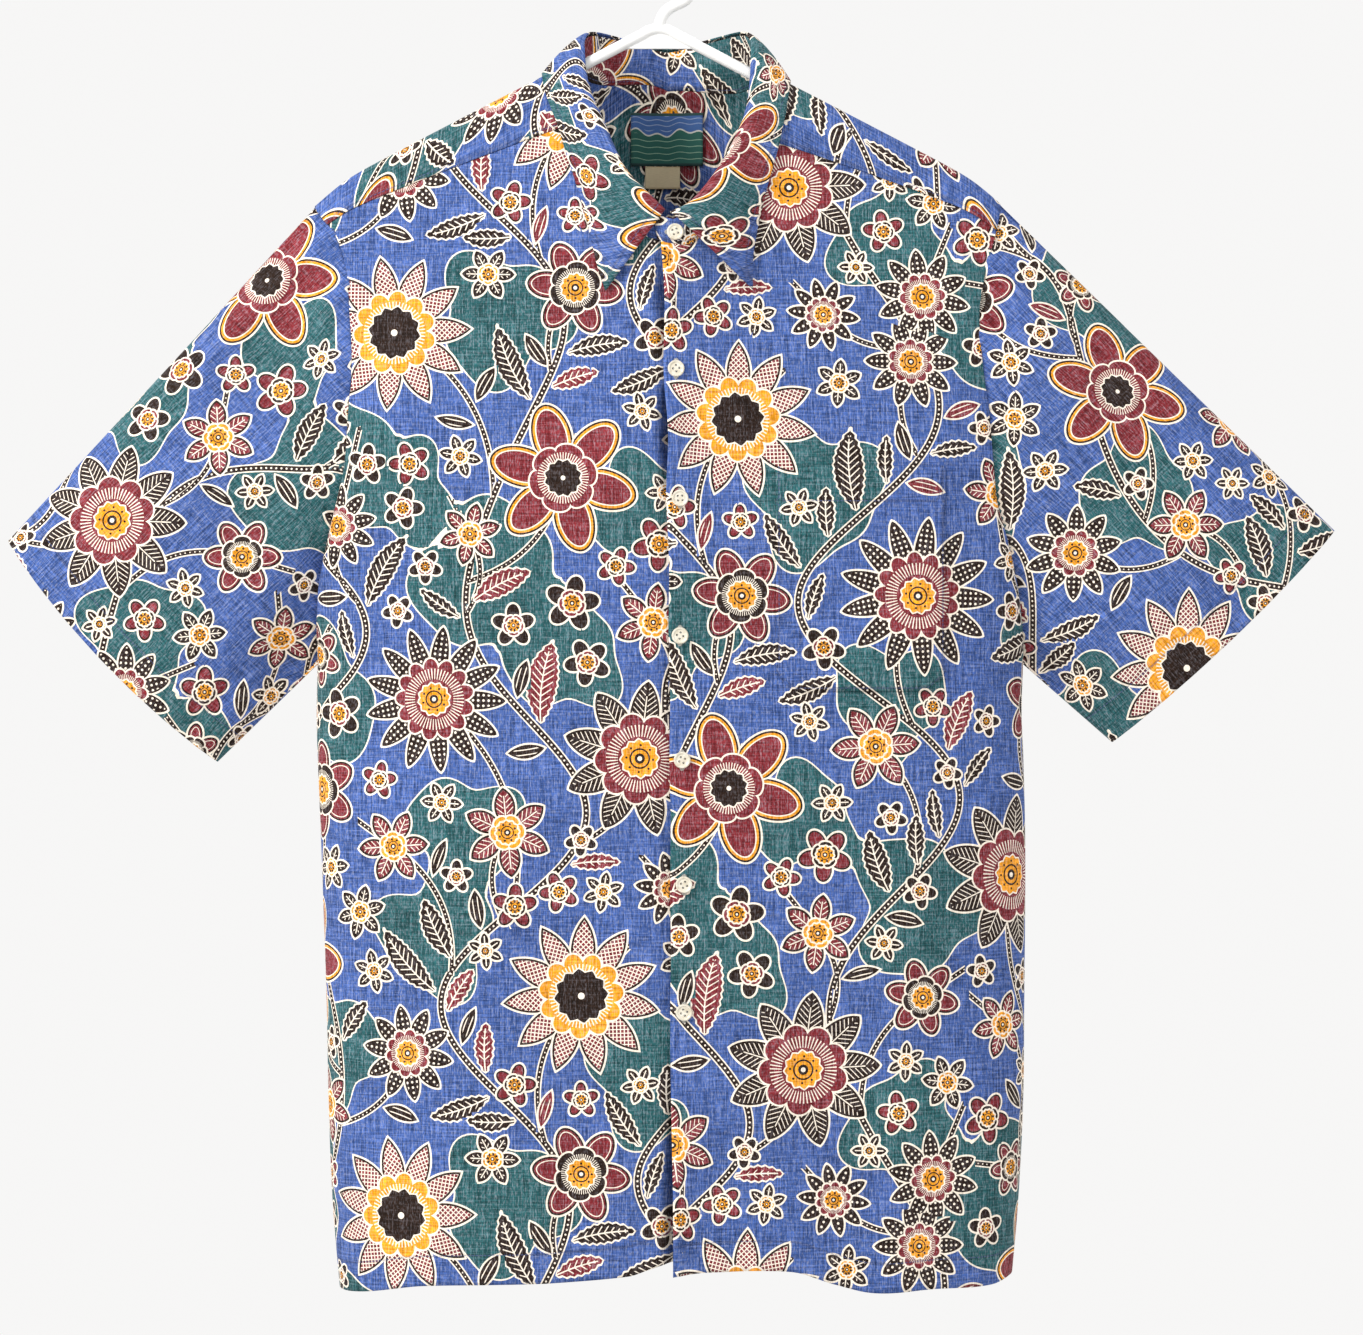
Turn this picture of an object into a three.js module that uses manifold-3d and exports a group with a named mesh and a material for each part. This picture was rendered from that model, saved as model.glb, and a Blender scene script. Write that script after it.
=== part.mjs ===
// Short-sleeved aloha shirt, buttoned, hanging on a plain tubular hanger.
// Millimetres, +Z up, +X to the right seen from the front, and the front faces -Y.
// The origin is the inside top of the hanger's hook, where a rail carries it.
import * as THREE from 'three';
import { mergeVertices } from 'three/addons/utils/BufferGeometryUtils.js';
import Module from 'manifold-3d';

const wasm = await Module();
wasm.setup();

// Cloth
const wall = 1.6;
const seamGap = 0.3;
const layGap = 1.2;
const halfSeam = seamGap / 2;
const yokeSeamHalf = 0.65;

// Hanger: one tube bent into a flat triangle, with a hook on its peak
const tubeRadius = 4;
const tubeSides = 8;
const armSlope = 0.5206;
const hanger = { peakZ: -55.9, half: 213, barZ: -200, corner: 15, hookRadius: 25, hookSweep: 236 };

// Shoulder ridge of the cloth, lying along the hanger's arms and falling away past their ends
const ridge = { rise: 7.8, round: 15, fallSlope: 0.9, fallStart: 4, fallSoft: 10 };

// Fall of the cloth from the ridge: it rounds the tube, then opens like a wedge up to the girth
const fall = { bend: 6.2, roundDepth: 9, wedge: 0.2 };

// How square the body's section is, from 2 (an ellipse) upwards
const squareness = 2.6;
const sectionPower = 2 / squareness;

// Depth of the body in front of and behind the hanger's plane
const girth = [
  { z: -50, front: 60, back: 56 },
  { z: -300, front: 62, back: 58 },
  { z: -500, front: 66, back: 62 },
  { z: -700, front: 70, back: 66 },
  { z: -930, front: 74, back: 70 },
];

// Centre line, along the overlapping front's edge
const middle = [
  { z: -200, x: 1.2 },
  { z: -315, x: 3.7 },
  { z: -450, x: 6.4 },
  { z: -660, x: 7.8 },
  { z: -930, x: 7.8 },
];

// Sides of the front: the armhole's edge down to the underarm, then the side seam. lift is the
// share of the body's depth that the armhole's edge keeps.
const frontSides = [
  { z: -120, left: -237.4, right: 235.3, lift: 1 },
  { z: -180, left: -237.4, right: 235.3, lift: 1 },
  { z: -200, left: -223, right: 231.5, lift: 1 },
  { z: -225, left: -214.5, right: 224.6, lift: 0.94 },
  { z: -255, left: -211.8, right: 219.6, lift: 0.88 },
  { z: -290, left: -210, right: 221.5, lift: 0.8 },
  { z: -325, left: -212.5, right: 226, lift: 0.72 },
  { z: -360, left: -215, right: 229, lift: 0.64 },
  { z: -385, left: -220.5, right: 231.5, lift: 0.57 },
  { z: -412, left: -227, right: 239, lift: 0.48 },
  { z: -440, left: -233, right: 245.5, lift: 0.36 },
  { z: -468, left: -235.2, right: 249.5, lift: 0.22 },
  { z: -484, left: -235.3, right: 251, lift: 0.1 },
  { z: -495, left: -235.4, right: 251, lift: 0 },
  { z: -530, left: -236, right: 250, lift: 0 },
  { z: -560, left: -235.3, right: 251.2, lift: 0 },
  { z: -624, left: -232.7, right: 252.5, lift: 0 },
  { z: -728, left: -229.1, right: 251.8, lift: 0 },
  { z: -797, left: -227.7, right: 251, lift: 0 },
  { z: -866, left: -224.9, right: 247.5, lift: 0 },
  { z: -930, left: -219.5, right: 242, lift: 0 },
];

// Sides of the back: its armhole is hollowed out less
const backSides = [
  { z: -120, left: -237.4, right: 235.3, lift: 1 },
  { z: -180, left: -237.4, right: 235.3, lift: 1 },
  { z: -205, left: -229, right: 233, lift: 1 },
  { z: -268, left: -222, right: 229, lift: 0.9 },
  { z: -347, left: -221.5, right: 233, lift: 0.8 },
  { z: -412, left: -227, right: 240.5, lift: 0.62 },
  { z: -440, left: -233, right: 246, lift: 0.48 },
  { z: -468, left: -235.2, right: 249.7, lift: 0.26 },
  { z: -484, left: -235.3, right: 251, lift: 0.12 },
  { z: -495, left: -235.4, right: 251, lift: 0 },
  { z: -530, left: -236, right: 250, lift: 0 },
  { z: -560, left: -235.3, right: 251.2, lift: 0 },
  { z: -624, left: -232.7, right: 252.5, lift: 0 },
  { z: -728, left: -229.1, right: 251.8, lift: 0 },
  { z: -797, left: -227.7, right: 251, lift: 0 },
  { z: -866, left: -224.9, right: 247.5, lift: 0 },
  { z: -930, left: -219.5, right: 242, lift: 0 },
];

// Hem heights across each panel
const frontRightHem = [
  { x: -236, z: -921 },
  { x: -213, z: -924.5 },
  { x: -158, z: -917 },
  { x: -75, z: -913.6 },
  { x: -20, z: -908.6 },
  { x: -6, z: -904 },
  { x: 8, z: -900 },
  { x: 40, z: -899 },
];
const frontLeftHem = [
  { x: 0, z: -909.6 },
  { x: 35, z: -905.9 },
  { x: 90, z: -906 },
  { x: 118, z: -914.7 },
  { x: 145, z: -921 },
  { x: 187, z: -919.6 },
  { x: 228, z: -919 },
  { x: 243, z: -914 },
];
const backHem = [
  { x: -222, z: -922.5 },
  { x: -150, z: -917 },
  { x: 0, z: -914 },
  { x: 120, z: -916 },
  { x: 243, z: -914 },
];

// Largest soft folds of the body: half is half the width, reach half the length, lean the
// sideways drift for each unit of height, depth positive outwards
const folds = [
  { face: -1, x: -196, z: -430, half: 17, reach: 120, lean: 0.14, depth: -4 },
  { face: -1, x: -176, z: -300, half: 20, reach: 90, lean: -0.2, depth: 2.5 },
  { face: -1, x: 208, z: -440, half: 15, reach: 120, lean: -0.12, depth: -4 },
  { face: -1, x: 186, z: -560, half: 26, reach: 150, lean: -0.05, depth: 3 },
  { face: -1, x: -190, z: -700, half: 24, reach: 190, lean: 0.03, depth: -3.5 },
  { face: -1, x: -120, z: -800, half: 34, reach: 150, lean: 0, depth: 2.5 },
  { face: -1, x: 120, z: -830, half: 30, reach: 140, lean: 0.05, depth: -4 },
  { face: -1, x: 200, z: -780, half: 22, reach: 170, lean: 0.04, depth: -3 },
  { face: 1, x: -150, z: -500, half: 26, reach: 260, lean: 0.06, depth: -5 },
  { face: 1, x: -60, z: -620, half: 30, reach: 240, lean: -0.02, depth: 4 },
  { face: 1, x: 40, z: -560, half: 26, reach: 280, lean: 0.03, depth: -4.5 },
  { face: 1, x: 150, z: -640, half: 28, reach: 240, lean: -0.04, depth: 4.5 },
  { face: 1, x: 200, z: -420, half: 18, reach: 130, lean: -0.12, depth: -4 },
];

// Collar ring: turn runs from the front centre (0) to the back centre (180) on each side
const ring = { x: 6, neckHalf: 68, foldHalf: 59, foldDepth: 50 };

// Neck seam, as a drop below the ridge: negative in front, positive behind
const neckSeam = [
  { turn: 0, left: -154, right: -154 },
  { turn: 15, left: -146, right: -147 },
  { turn: 30, left: -120, right: -119 },
  { turn: 50, left: -79, right: -83 },
  { turn: 70, left: -40, right: -44 },
  { turn: 90, left: 0, right: 0 },
  { turn: 110, left: 7, right: 7 },
  { turn: 135, left: 21, right: 21 },
  { turn: 180, left: 38, right: 38 },
];

// Collar's rolled top edge: its height on each side
const collarFold = [
  { turn: 0, left: -189, right: -190 },
  { turn: 15, left: -174, right: -182 },
  { turn: 30, left: -158, right: -166 },
  { turn: 50, left: -124, right: -140 },
  { turn: 70, left: -98, right: -113 },
  { turn: 80, left: -82, right: -92 },
  { turn: 85, left: -70.5, right: -71.5 },
  { turn: 90, left: -68, right: -70 },
  { turn: 110, left: -58, right: -58 },
  { turn: 135, left: -57, right: -57 },
  { turn: 180, left: -65, right: -65 },
];

// Collar leaf's outer edge: its place across, and its drop below the ridge
const leafEdge = [
  { turn: 0, leftX: -35, leftDrop: -177, rightX: 63.3, rightDrop: -162 },
  { turn: 15, leftX: -41, leftDrop: -155, rightX: 63.5, rightDrop: -140 },
  { turn: 30, leftX: -47.5, leftDrop: -125, rightX: 66.5, rightDrop: -119 },
  { turn: 50, leftX: -57, leftDrop: -87, rightX: 74, rightDrop: -82 },
  { turn: 70, leftX: -67, leftDrop: -50, rightX: 83, rightDrop: -44 },
  { turn: 90, leftX: -79, leftDrop: -9, rightX: 89, rightDrop: -9 },
  { turn: 110, leftX: -77, leftDrop: 10, rightX: 88, rightDrop: 10 },
  { turn: 135, leftX: -58, leftDrop: 28, rightX: 70, rightDrop: 25 },
  { turn: 180, leftX: 6, leftDrop: 55, rightX: 6, rightDrop: 55 },
];
const leafClear = 3.4;
const leafRoll = { out: 7, up: 3.5 };
const leafRows = [0, 0.1, 0.2, 0.34, 0.6, 1];
const standGap = 1.6;
const foldCover = { round: 2.8, front: 3, frontTurn: 22 };

// Stations of the collar's columns on one side, closer together where it crosses the shoulder
const collarStations = [
  6, 15, 24, 33, 42, 51, 60, 68, 74, 79, 83, 86.5, 90, 93.5, 97.5, 103, 110, 120, 132, 146, 163,
];

// Yoke: its front seams run from the neck to the armholes, its back seam straight across
const yoke = { frontTurn: 68, backTurn: 110, armholeDrop: 22, backZ: -205, backSteps: 18, rows: 7 };
const shoulderPlaces = [-1, -0.76, -0.52, -0.32, -0.15, 0, 0.15, 0.32, 0.52, 0.76, 1];

// Front overlap at the buttons
const overlap = {
  turn: 10, stepWidth: 7, sink: wall + 0.8, topShare: 0.03, underShares: [-0.028, -0.005, 0.02, 0.06, 0.11],
};

// Sleeves, each given by the top and bottom corners of its hem as seen from the front
const sleeves = [
  { name: 'sleeve_right', side: -1, topX: -449, topZ: -411, lowX: -304.5, lowZ: -563.5, bow: 8 },
  { name: 'sleeve_left', side: 1, topX: 466, topZ: -404, lowX: 312.5, lowZ: -550, bow: 4 },
];
const sleeve = { underarmZ: -495, hemDepth: 23, puff: 7, around: 32, rows: 9 };
const sleeveStandOff = { body: 1, tip: 1 };

// Soft folds of the sleeves: at is the place round the front or back half from the top fold (0)
// to the lower fold (1), from and to are the stretch along the sleeve
const sleeveFolds = [
  { side: -1, face: -1, at: 0.28, half: 0.1, from: 0, to: 0.55, depth: -5 },
  { side: -1, face: -1, at: 0.66, half: 0.09, from: 0, to: 0.7, depth: 4 },
  { side: -1, face: -1, at: 0.84, half: 0.07, from: 0.02, to: 0.6, depth: -5 },
  { side: 1, face: -1, at: 0.36, half: 0.09, from: 0, to: 0.6, depth: 4 },
  { side: 1, face: -1, at: 0.6, half: 0.08, from: 0, to: 0.9, depth: -4 },
  { side: 1, face: -1, at: 0.86, half: 0.07, from: 0, to: 0.65, depth: -5 },
  { side: -1, face: 1, at: 0.45, half: 0.12, from: 0, to: 0.8, depth: -5 },
  { side: 1, face: 1, at: 0.5, half: 0.12, from: 0, to: 0.8, depth: -5 },
];

// Patch pocket on the wearer's left chest, its lower corners mitred
const pocket = { left: 79.5, right: 195, topZ: -361.4, bottomZ: -514.4, mitre: 12, wall: 1.4 };

// Woven label and size tab inside the yoke, below the collar stand
const label = { left: -20, right: 30.5, topZ: -110, bottomZ: -147, wall: 1 };
const sizeTab = { left: -10, right: 14.5, topZ: -147.3, bottomZ: -163, wall: 1 };

// Buttons: the first is on the collar stand
const button = { radius: 5.7, thick: 2.4, rim: 1.1, dish: 0.5, holeRadius: 0.8, holeSpread: 1.5, sides: 20 };
const standButton = { place: 0.9652, height: 0.4, spin: 20 };
const buttons = [
  { x: 11.8, z: -296, spin: 50 },
  { x: 14.5, z: -384, spin: 5 },
  { x: 14.5, z: -477, spin: 35 },
  { x: 15.9, z: -561, spin: 70 },
  { x: 17.2, z: -645, spin: 25 },
  { x: 17.2, z: -731, spin: 60 },
];

const radians = THREE.MathUtils.degToRad;
const clamp = THREE.MathUtils.clamp;
const mix = THREE.MathUtils.lerp;
const smooth = (from, to, at) => THREE.MathUtils.smoothstep(at, from, to);
const bell = (u) => Math.exp(-u * u);

// Smooth reading of a table's column at a value of its sorted key
function read(table, key, at, column) {
  const order = Math.sign(table[table.length - 1][key] - table[0][key]);
  const place = (row) => order * row[key];
  const last = table.length - 1;
  let i = 0;
  while (i < last - 1 && order * at > place(table[i + 1])) i += 1;
  const span = place(table[i + 1]) - place(table[i]);
  const u = clamp((order * at - place(table[i])) / span, 0, 1);
  const slope = (n) => {
    const before = table[Math.max(n - 1, 0)];
    const after = table[Math.min(n + 1, last)];
    return ((after[column] - before[column]) / (place(after) - place(before))) * span;
  };
  const start = table[i][column];
  const end = table[i + 1][column];
  const u2 = u * u;
  const u3 = u2 * u;
  return (2 * u3 - 3 * u2 + 1) * start + (u3 - 2 * u2 + u) * slope(i)
    + (3 * u2 - 2 * u3) * end + (u3 - u2) * slope(i + 1);
}

// Height of the shoulder ridge
function ridgeZ(x) {
  const run = Math.hypot(x, ridge.round);
  const over = run - hanger.half - ridge.fallStart;
  const past = (Math.hypot(over, ridge.fallSoft) + over) / 2;
  return hanger.peakZ + ridge.rise - run * armSlope - past * (ridge.fallSlope - armSlope);
}

// Extra depth round the collar, whose ring holds the cloth open
function collarPush(face, x, drop) {
  if (face < 0) {
    return 11 * bell((x - ring.x) / 45) * smooth(0, 90, drop) * Math.exp(-Math.max(0, drop - 160) / 120);
  }
  const open = 35 * bell((x - ring.x) / ring.neckHalf) * (1 - Math.exp(-drop / 12));
  return open * Math.exp(-Math.max(0, drop - 43) / 150);
}

// Depth of the cloth in the middle of a panel, before its sides roll in
function openDepth(face, x, z) {
  const drop = Math.max(0, ridgeZ(x) - z);
  const bend = Math.sqrt(2 * fall.bend * drop) / fall.roundDepth;
  const wedge = fall.roundDepth * (1 - Math.exp(-bend)) + fall.wedge * drop;
  const limit = read(girth, 'z', z, face < 0 ? 'front' : 'back');
  return wedge / (1 + (wedge / limit) ** 4) ** 0.25 + collarPush(face, x, drop);
}

function foldDepth(face, x, z) {
  const drop = ridgeZ(x) - z;
  let depth = 0;
  for (const fold of folds) {
    if (fold.face !== face) continue;
    const across = (x - fold.x - fold.lean * (fold.z - z)) / fold.half;
    depth += fold.depth * bell(across) * bell((z - fold.z) / fold.reach);
  }
  return depth * smooth(20, 90, drop);
}

const middleX = (z) => read(middle, 'z', z, 'x');
const sidesOf = (face) => (face < 0 ? frontSides : backSides);
const sideX = (face, side, z) => read(sidesOf(face), 'z', z, side < 0 ? 'left' : 'right');
const signedPower = (value, power) => Math.sign(value) * Math.abs(value) ** power;

function bodyDepth(face, x, z, shape) {
  const lift = clamp(read(sidesOf(face), 'z', z, 'lift'), 0, 1);
  const flatness = lift + (1 - lift) * shape;
  return openDepth(face, x, z) * flatness + foldDepth(face, x, z) * shape;
}

// Point on the outside of the body, round the section from the centre (0) to a side (90 degrees)
function bodyPoint(face, turn, z) {
  const side = turn < 0 ? -1 : 1;
  const centre = middleX(z);
  const reach = Math.abs(sideX(face, side, z) - centre);
  const x = centre + reach * signedPower(Math.sin(turn), sectionPower);
  const y = face * bodyDepth(face, x, z, signedPower(Math.cos(turn), sectionPower));
  return new THREE.Vector3(x, y, z);
}

// The same surface, reached by its place as seen from the front
function bodyAt(face, x, z) {
  const centre = middleX(z);
  const share = Math.min(1, Math.abs((x - centre) / (sideX(face, x - centre, z) - centre)));
  const shape = (1 - share ** squareness) ** (1 / squareness);
  return new THREE.Vector3(x, face * bodyDepth(face, x, z, shape), z);
}

const turnOf = (share) => Math.sign(share) * Math.asin(Math.min(1, Math.abs(share)) ** (1 / sectionPower));

// The same surface again, reached by the signed root of the drop below the ridge, so that it
// runs smoothly over the shoulder from the front (negative) to the back
function shoulderAt(x, root) {
  return bodyAt(root < 0 ? -1 : 1, x, ridgeZ(x) - root * root);
}

const rootOf = (drop) => signedPower(drop, 0.5);

// A table with some columns of drops turned into their signed roots
function withRoots(table, names) {
  return table.map((row) => ({ ...row, ...Object.fromEntries(names.map((name) => [name, rootOf(row[name])])) }));
}

const neckRoots = withRoots(neckSeam, ['left', 'right']);
const leafRoots = withRoots(leafEdge, ['leftDrop', 'rightDrop']);

// Collar stations: station 0 is the front centre, 90 the left side in front view, 180 the back
function sideOfStation(station) {
  const around = (station + 720) % 360;
  const onLeft = around <= 180;
  return { side: onLeft ? 'left' : 'right', turn: onLeft ? around : 360 - around };
}

function neckPlace(station) {
  const at = sideOfStation(station);
  const x = ring.x - ring.neckHalf * Math.sin(radians(station));
  return { x, root: read(neckRoots, 'turn', at.turn, at.side) };
}

function foldPoint(station) {
  const at = sideOfStation(station);
  const x = ring.x - ring.foldHalf * Math.sin(radians(station));
  const y = -ring.foldDepth * Math.cos(radians(station));
  return new THREE.Vector3(x, y, read(collarFold, 'turn', at.turn, at.side));
}

const outwardAt = (station) => new THREE.Vector3(-Math.sin(radians(station)), -Math.cos(radians(station)), 0);

// Fold point with its directions: out of the ring, and up across the fold's own run
function foldFrame(station) {
  const step = 0.5;
  const point = foldPoint(station);
  const run = foldPoint(station + step).sub(foldPoint(station - step)).normalize();
  const up = run.clone().cross(outwardAt(station)).normalize();
  if (up.z < 0) up.negate();
  const out = up.clone().cross(run).normalize();
  if (out.dot(outwardAt(station)) < 0) out.negate();
  return { point, up, out };
}

// Where the yoke's front seam meets the neck and the armhole, on one side
function yokeCorners(side) {
  const station = side < 0 ? yoke.frontTurn : 360 - yoke.frontTurn;
  const neck = neckPlace(station);
  const root = -Math.sqrt(yoke.armholeDrop);
  return { neck, armhole: { x: armholeX(-1, side, root), root } };
}

// The armhole's edge, found at a root of the drop below the ridge
function armholeX(face, side, root) {
  let x = sideX(face, side, -180);
  for (let i = 0; i < 12; i += 1) x = sideX(face, side, ridgeZ(x) - root * root);
  return x;
}

function frontSeamRoot(side, x) {
  const { neck, armhole } = yokeCorners(side);
  return mix(neck.root, armhole.root, (x - neck.x) / (armhole.x - neck.x));
}

// Surface normal of a skin at a place, pointing out of the garment where sign is right
function normalOf(skin, a, b, wraps, sign) {
  const step = 1e-4;
  const [a0, a1] = wraps ? [a - step, a + step] : [Math.max(0, a - step), Math.min(1, a + step)];
  const [b0, b1] = [Math.max(0, b - step), Math.min(1, b + step)];
  const da = skin(a1, b).sub(skin(a0, b));
  const db = skin(a, b1).sub(skin(a, b0));
  return da.cross(db).normalize().multiplyScalar(sign);
}

// Closed wall over a skin, which gives the outer point for a and b from 0 to 1. The wall goes
// inwards from it. With wraps, a runs round a tube.
function clothWall(skin, { across, along, sign, thick = wall, wraps = false }) {
  const columns = wraps ? across.length - 1 : across.length;
  const rows = along.length;
  const points = [];
  for (const inner of [0, 1]) {
    for (let j = 0; j < rows; j += 1) {
      for (let i = 0; i < columns; i += 1) {
        const point = skin(across[i], along[j]);
        const normal = normalOf(skin, across[i], along[j], wraps, sign);
        point.addScaledVector(normal, -thick * inner);
        points.push(point.x, point.y, point.z);
      }
    }
  }
  const layer = columns * rows;
  const faces = [];
  const quad = (p, q, r, s) => faces.push(p, q, r, p, r, s);
  const at = (i, j, inner) => inner * layer + j * columns + (i % columns);
  const steps = wraps ? columns : columns - 1;
  for (let i = 0; i < steps; i += 1) {
    for (let j = 0; j < rows - 1; j += 1) {
      quad(at(i, j, 0), at(i + 1, j, 0), at(i + 1, j + 1, 0), at(i, j + 1, 0));
      quad(at(i, j, 1), at(i, j + 1, 1), at(i + 1, j + 1, 1), at(i + 1, j, 1));
    }
    quad(at(i, 0, 0), at(i, 0, 1), at(i + 1, 0, 1), at(i + 1, 0, 0));
    quad(at(i, rows - 1, 0), at(i + 1, rows - 1, 0), at(i + 1, rows - 1, 1), at(i, rows - 1, 1));
  }
  if (!wraps) {
    const end = columns - 1;
    for (let j = 0; j < rows - 1; j += 1) {
      quad(at(0, j, 0), at(0, j + 1, 0), at(0, j + 1, 1), at(0, j, 1));
      quad(at(end, j, 0), at(end, j, 1), at(end, j + 1, 1), at(end, j + 1, 0));
    }
  }
  if (sign < 0) faces.reverse();
  const geometry = new THREE.BufferGeometry();
  geometry.setAttribute('position', new THREE.Float32BufferAttribute(points, 3));
  geometry.setIndex(faces);
  return geometry;
}

const evenly = (count) => Array.from({ length: count + 1 }, (_, i) => i / count);

// Reads a list of values at a share from 0 to 1 of its length, straight between them
function listAt(list, share) {
  const place = clamp(share, 0, 1) * (list.length - 1);
  const i = Math.min(Math.floor(place), list.length - 2);
  return mix(list[i], list[i + 1], place - i);
}

// Rows of a body panel, closer together near the armhole
const panelRows = [0, 0.03, 0.07, 0.12, 0.17, 0.22, 0.27, 0.32, 0.37, 0.42, 0.47, 0.53, 0.6, 0.68, 0.77, 0.88, 1];

// Shares of the half width where the columns of a panel stand, from the side to near the neck
const outerShares = [1, 0.997, 0.985, 0.96, 0.915, 0.85, 0.77, 0.67, 0.56, 0.45, 0.34];
const sideTurn = Math.acos((halfSeam / 60) ** (1 / sectionPower));

// Upper edge of a front panel: the yoke's seam, then the neck's curve
function frontTopZ(side, x) {
  const { neck } = yokeCorners(side);
  const inNeck = (x - neck.x) * side < 0;
  if (!inNeck) return ridgeZ(x) - frontSeamRoot(side, x) ** 2 - yokeSeamHalf;
  const turn = THREE.MathUtils.radToDeg(Math.asin(clamp(Math.abs(x - ring.x) / ring.neckHalf, 0, 1)));
  return ridgeZ(x) - read(neckRoots, 'turn', turn, x < ring.x ? 'left' : 'right') ** 2;
}

function frontColumnTop(side, turn) {
  let z = -180;
  for (let i = 0; i < 30; i += 1) z = frontTopZ(side, bodyPoint(-1, turn, z).x);
  return z;
}

// Front panel: side -1 is the wearer's right, whose edge goes under the other at the buttons
function frontSkin(side, hem) {
  const turns = outerShares.map((share) => side * Math.min(turnOf(share), sideTurn));
  const tops = turns.map((turn) => frontColumnTop(side, turn));
  const stations = collarStations.filter((station) => station <= yoke.frontTurn && station > overlap.turn);
  for (const station of stations.reverse()) {
    const { x, root } = neckPlace(side < 0 ? station : -station);
    const z = ridgeZ(x) - root * root - (station === yoke.frontTurn ? yokeSeamHalf : 0);
    const share = (x - middleX(z)) / Math.abs(sideX(-1, side, z) - middleX(z));
    turns.push(turnOf(share));
    tops.push(z);
  }
  const inner = side < 0 ? overlap.underShares : [overlap.topShare, 0];
  for (const share of inner) {
    turns.push(turnOf(share));
    tops.push(frontColumnTop(side, turnOf(share)));
  }
  const skin = (a, b) => {
    const turn = listAt(turns, a);
    const topZ = listAt(tops, a);
    const hemZ = read(hem, 'x', bodyPoint(-1, turn, -915).x, 'z');
    const z = mix(topZ, hemZ, b);
    const point = bodyPoint(-1, turn, z);
    if (side < 0) {
      const edge = middleX(z);
      point.y += overlap.sink * smooth(edge - overlap.stepWidth, edge - 1, point.x);
    }
    return point;
  };
  return { skin, across: evenly(turns.length - 1) };
}

function backSkin() {
  const half = outerShares.slice(1).concat([0.22, 0.1]);
  const shares = [-1, ...half.map((share) => -share), 0, ...half.slice().reverse(), 1];
  const turns = shares.map((share) => clamp(turnOf(share), -sideTurn, sideTurn));
  const skin = (a, b) => {
    const turn = listAt(turns, a);
    const hemZ = read(backHem, 'x', bodyPoint(1, turn, -915).x, 'z');
    return bodyPoint(1, turn, mix(yoke.backZ - halfSeam, hemZ, b));
  };
  return { skin, across: evenly(turns.length - 1) };
}

// Yoke: its columns fan out from the neck seam to the armholes and the back seam
function yokeSkin() {
  const backRoot = (x) => Math.sqrt(ridgeZ(x) - yoke.backZ - halfSeam);
  const shoulder = (side) => shoulderPlaces.map((u) => {
    const turn = 90 + u * Math.abs(u) * (u < 0 ? 90 - yoke.frontTurn : yoke.backTurn - 90);
    const backEnd = backRoot(sideX(1, side, yoke.backZ));
    const root = u < 0 ? -u * yokeCorners(side).armhole.root : u * backEnd;
    const inner = neckPlace(side < 0 ? turn : 360 - turn);
    return { inner, outer: { x: armholeX(u < 0 ? -1 : 1, side, root), root } };
  });
  const columns = shoulder(-1);
  const left = sideX(1, -1, yoke.backZ);
  const right = sideX(1, 1, yoke.backZ);
  for (const u of evenly(yoke.backSteps).slice(1, -1)) {
    const x = mix(left, right, u);
    const station = mix(yoke.backTurn, 360 - yoke.backTurn, u);
    columns.push({ inner: neckPlace(station), outer: { x, root: backRoot(x) } });
  }
  columns.push(...shoulder(1).reverse());
  const skin = (a, b) => {
    const place = clamp(a, 0, 1) * (columns.length - 1);
    const i = Math.min(Math.floor(place), columns.length - 2);
    const u = place - i;
    const [from, to] = [columns[i], columns[i + 1]];
    const x = mix(mix(from.inner.x, to.inner.x, u), mix(from.outer.x, to.outer.x, u), b);
    let root = mix(mix(from.inner.root, to.inner.root, u), mix(from.outer.root, to.outer.root, u), b);
    if (root < 0) {
      const seam = frontSeamRoot(Math.sign(x - ring.x), x);
      root = -Math.min(-root, Math.sqrt(seam * seam - yokeSeamHalf));
    }
    return shoulderAt(x, root);
  };
  return { skin, across: evenly(columns.length - 1) };
}

// Armhole edge on the body: around is 0 at the shoulder tip, 0.5 at the underarm, front first
function armholePoint(side, around) {
  const face = around < 0.5 ? -1 : 1;
  const tipX = armholeX(face, side, 0);
  const down = (1 - Math.cos(around * 2 * Math.PI)) / 2;
  const z = mix(ridgeZ(tipX), sleeve.underarmZ, down);
  return bodyAt(face, sideX(face, side, z), z);
}

function sleeveSkin({ side, topX, topZ, lowX, lowZ, bow }) {
  const centre = new THREE.Vector3((topX + lowX) / 2, 0, (topZ + lowZ) / 2);
  const half = new THREE.Vector3((topX - lowX) / 2, 0, (topZ - lowZ) / 2);
  const axis = new THREE.Vector3(side * Math.abs(half.z), 0, -Math.abs(half.x)).normalize();
  return (a, b) => {
    const around = a - Math.floor(a);
    const angle = around * 2 * Math.PI;
    const face = around < 0.5 ? -1 : 1;
    const outward = -Math.sin(angle);
    const start = armholePoint(side, around);
    start.x += side * (sleeveStandOff.body + sleeveStandOff.tip * Math.max(0, Math.cos(angle)));
    const end = centre.clone().addScaledVector(half, Math.cos(angle));
    end.y += outward * sleeve.hemDepth;
    end.addScaledVector(axis, bow * outward * outward);
    const point = start.lerp(end, b);
    point.y += outward * sleeve.puff * Math.sin(Math.PI * b);
    const place = face < 0 ? around * 2 : (1 - around) * 2;
    for (const fold of sleeveFolds) {
      if (fold.side !== side || fold.face !== face) continue;
      const run = (b - fold.from) / (fold.to - fold.from);
      if (run <= 0 || run >= 1) continue;
      point.y += face * fold.depth * bell((place - fold.at) / fold.half) * Math.sin(Math.PI * run) ** 2;
    }
    return point;
  };
}

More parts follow.
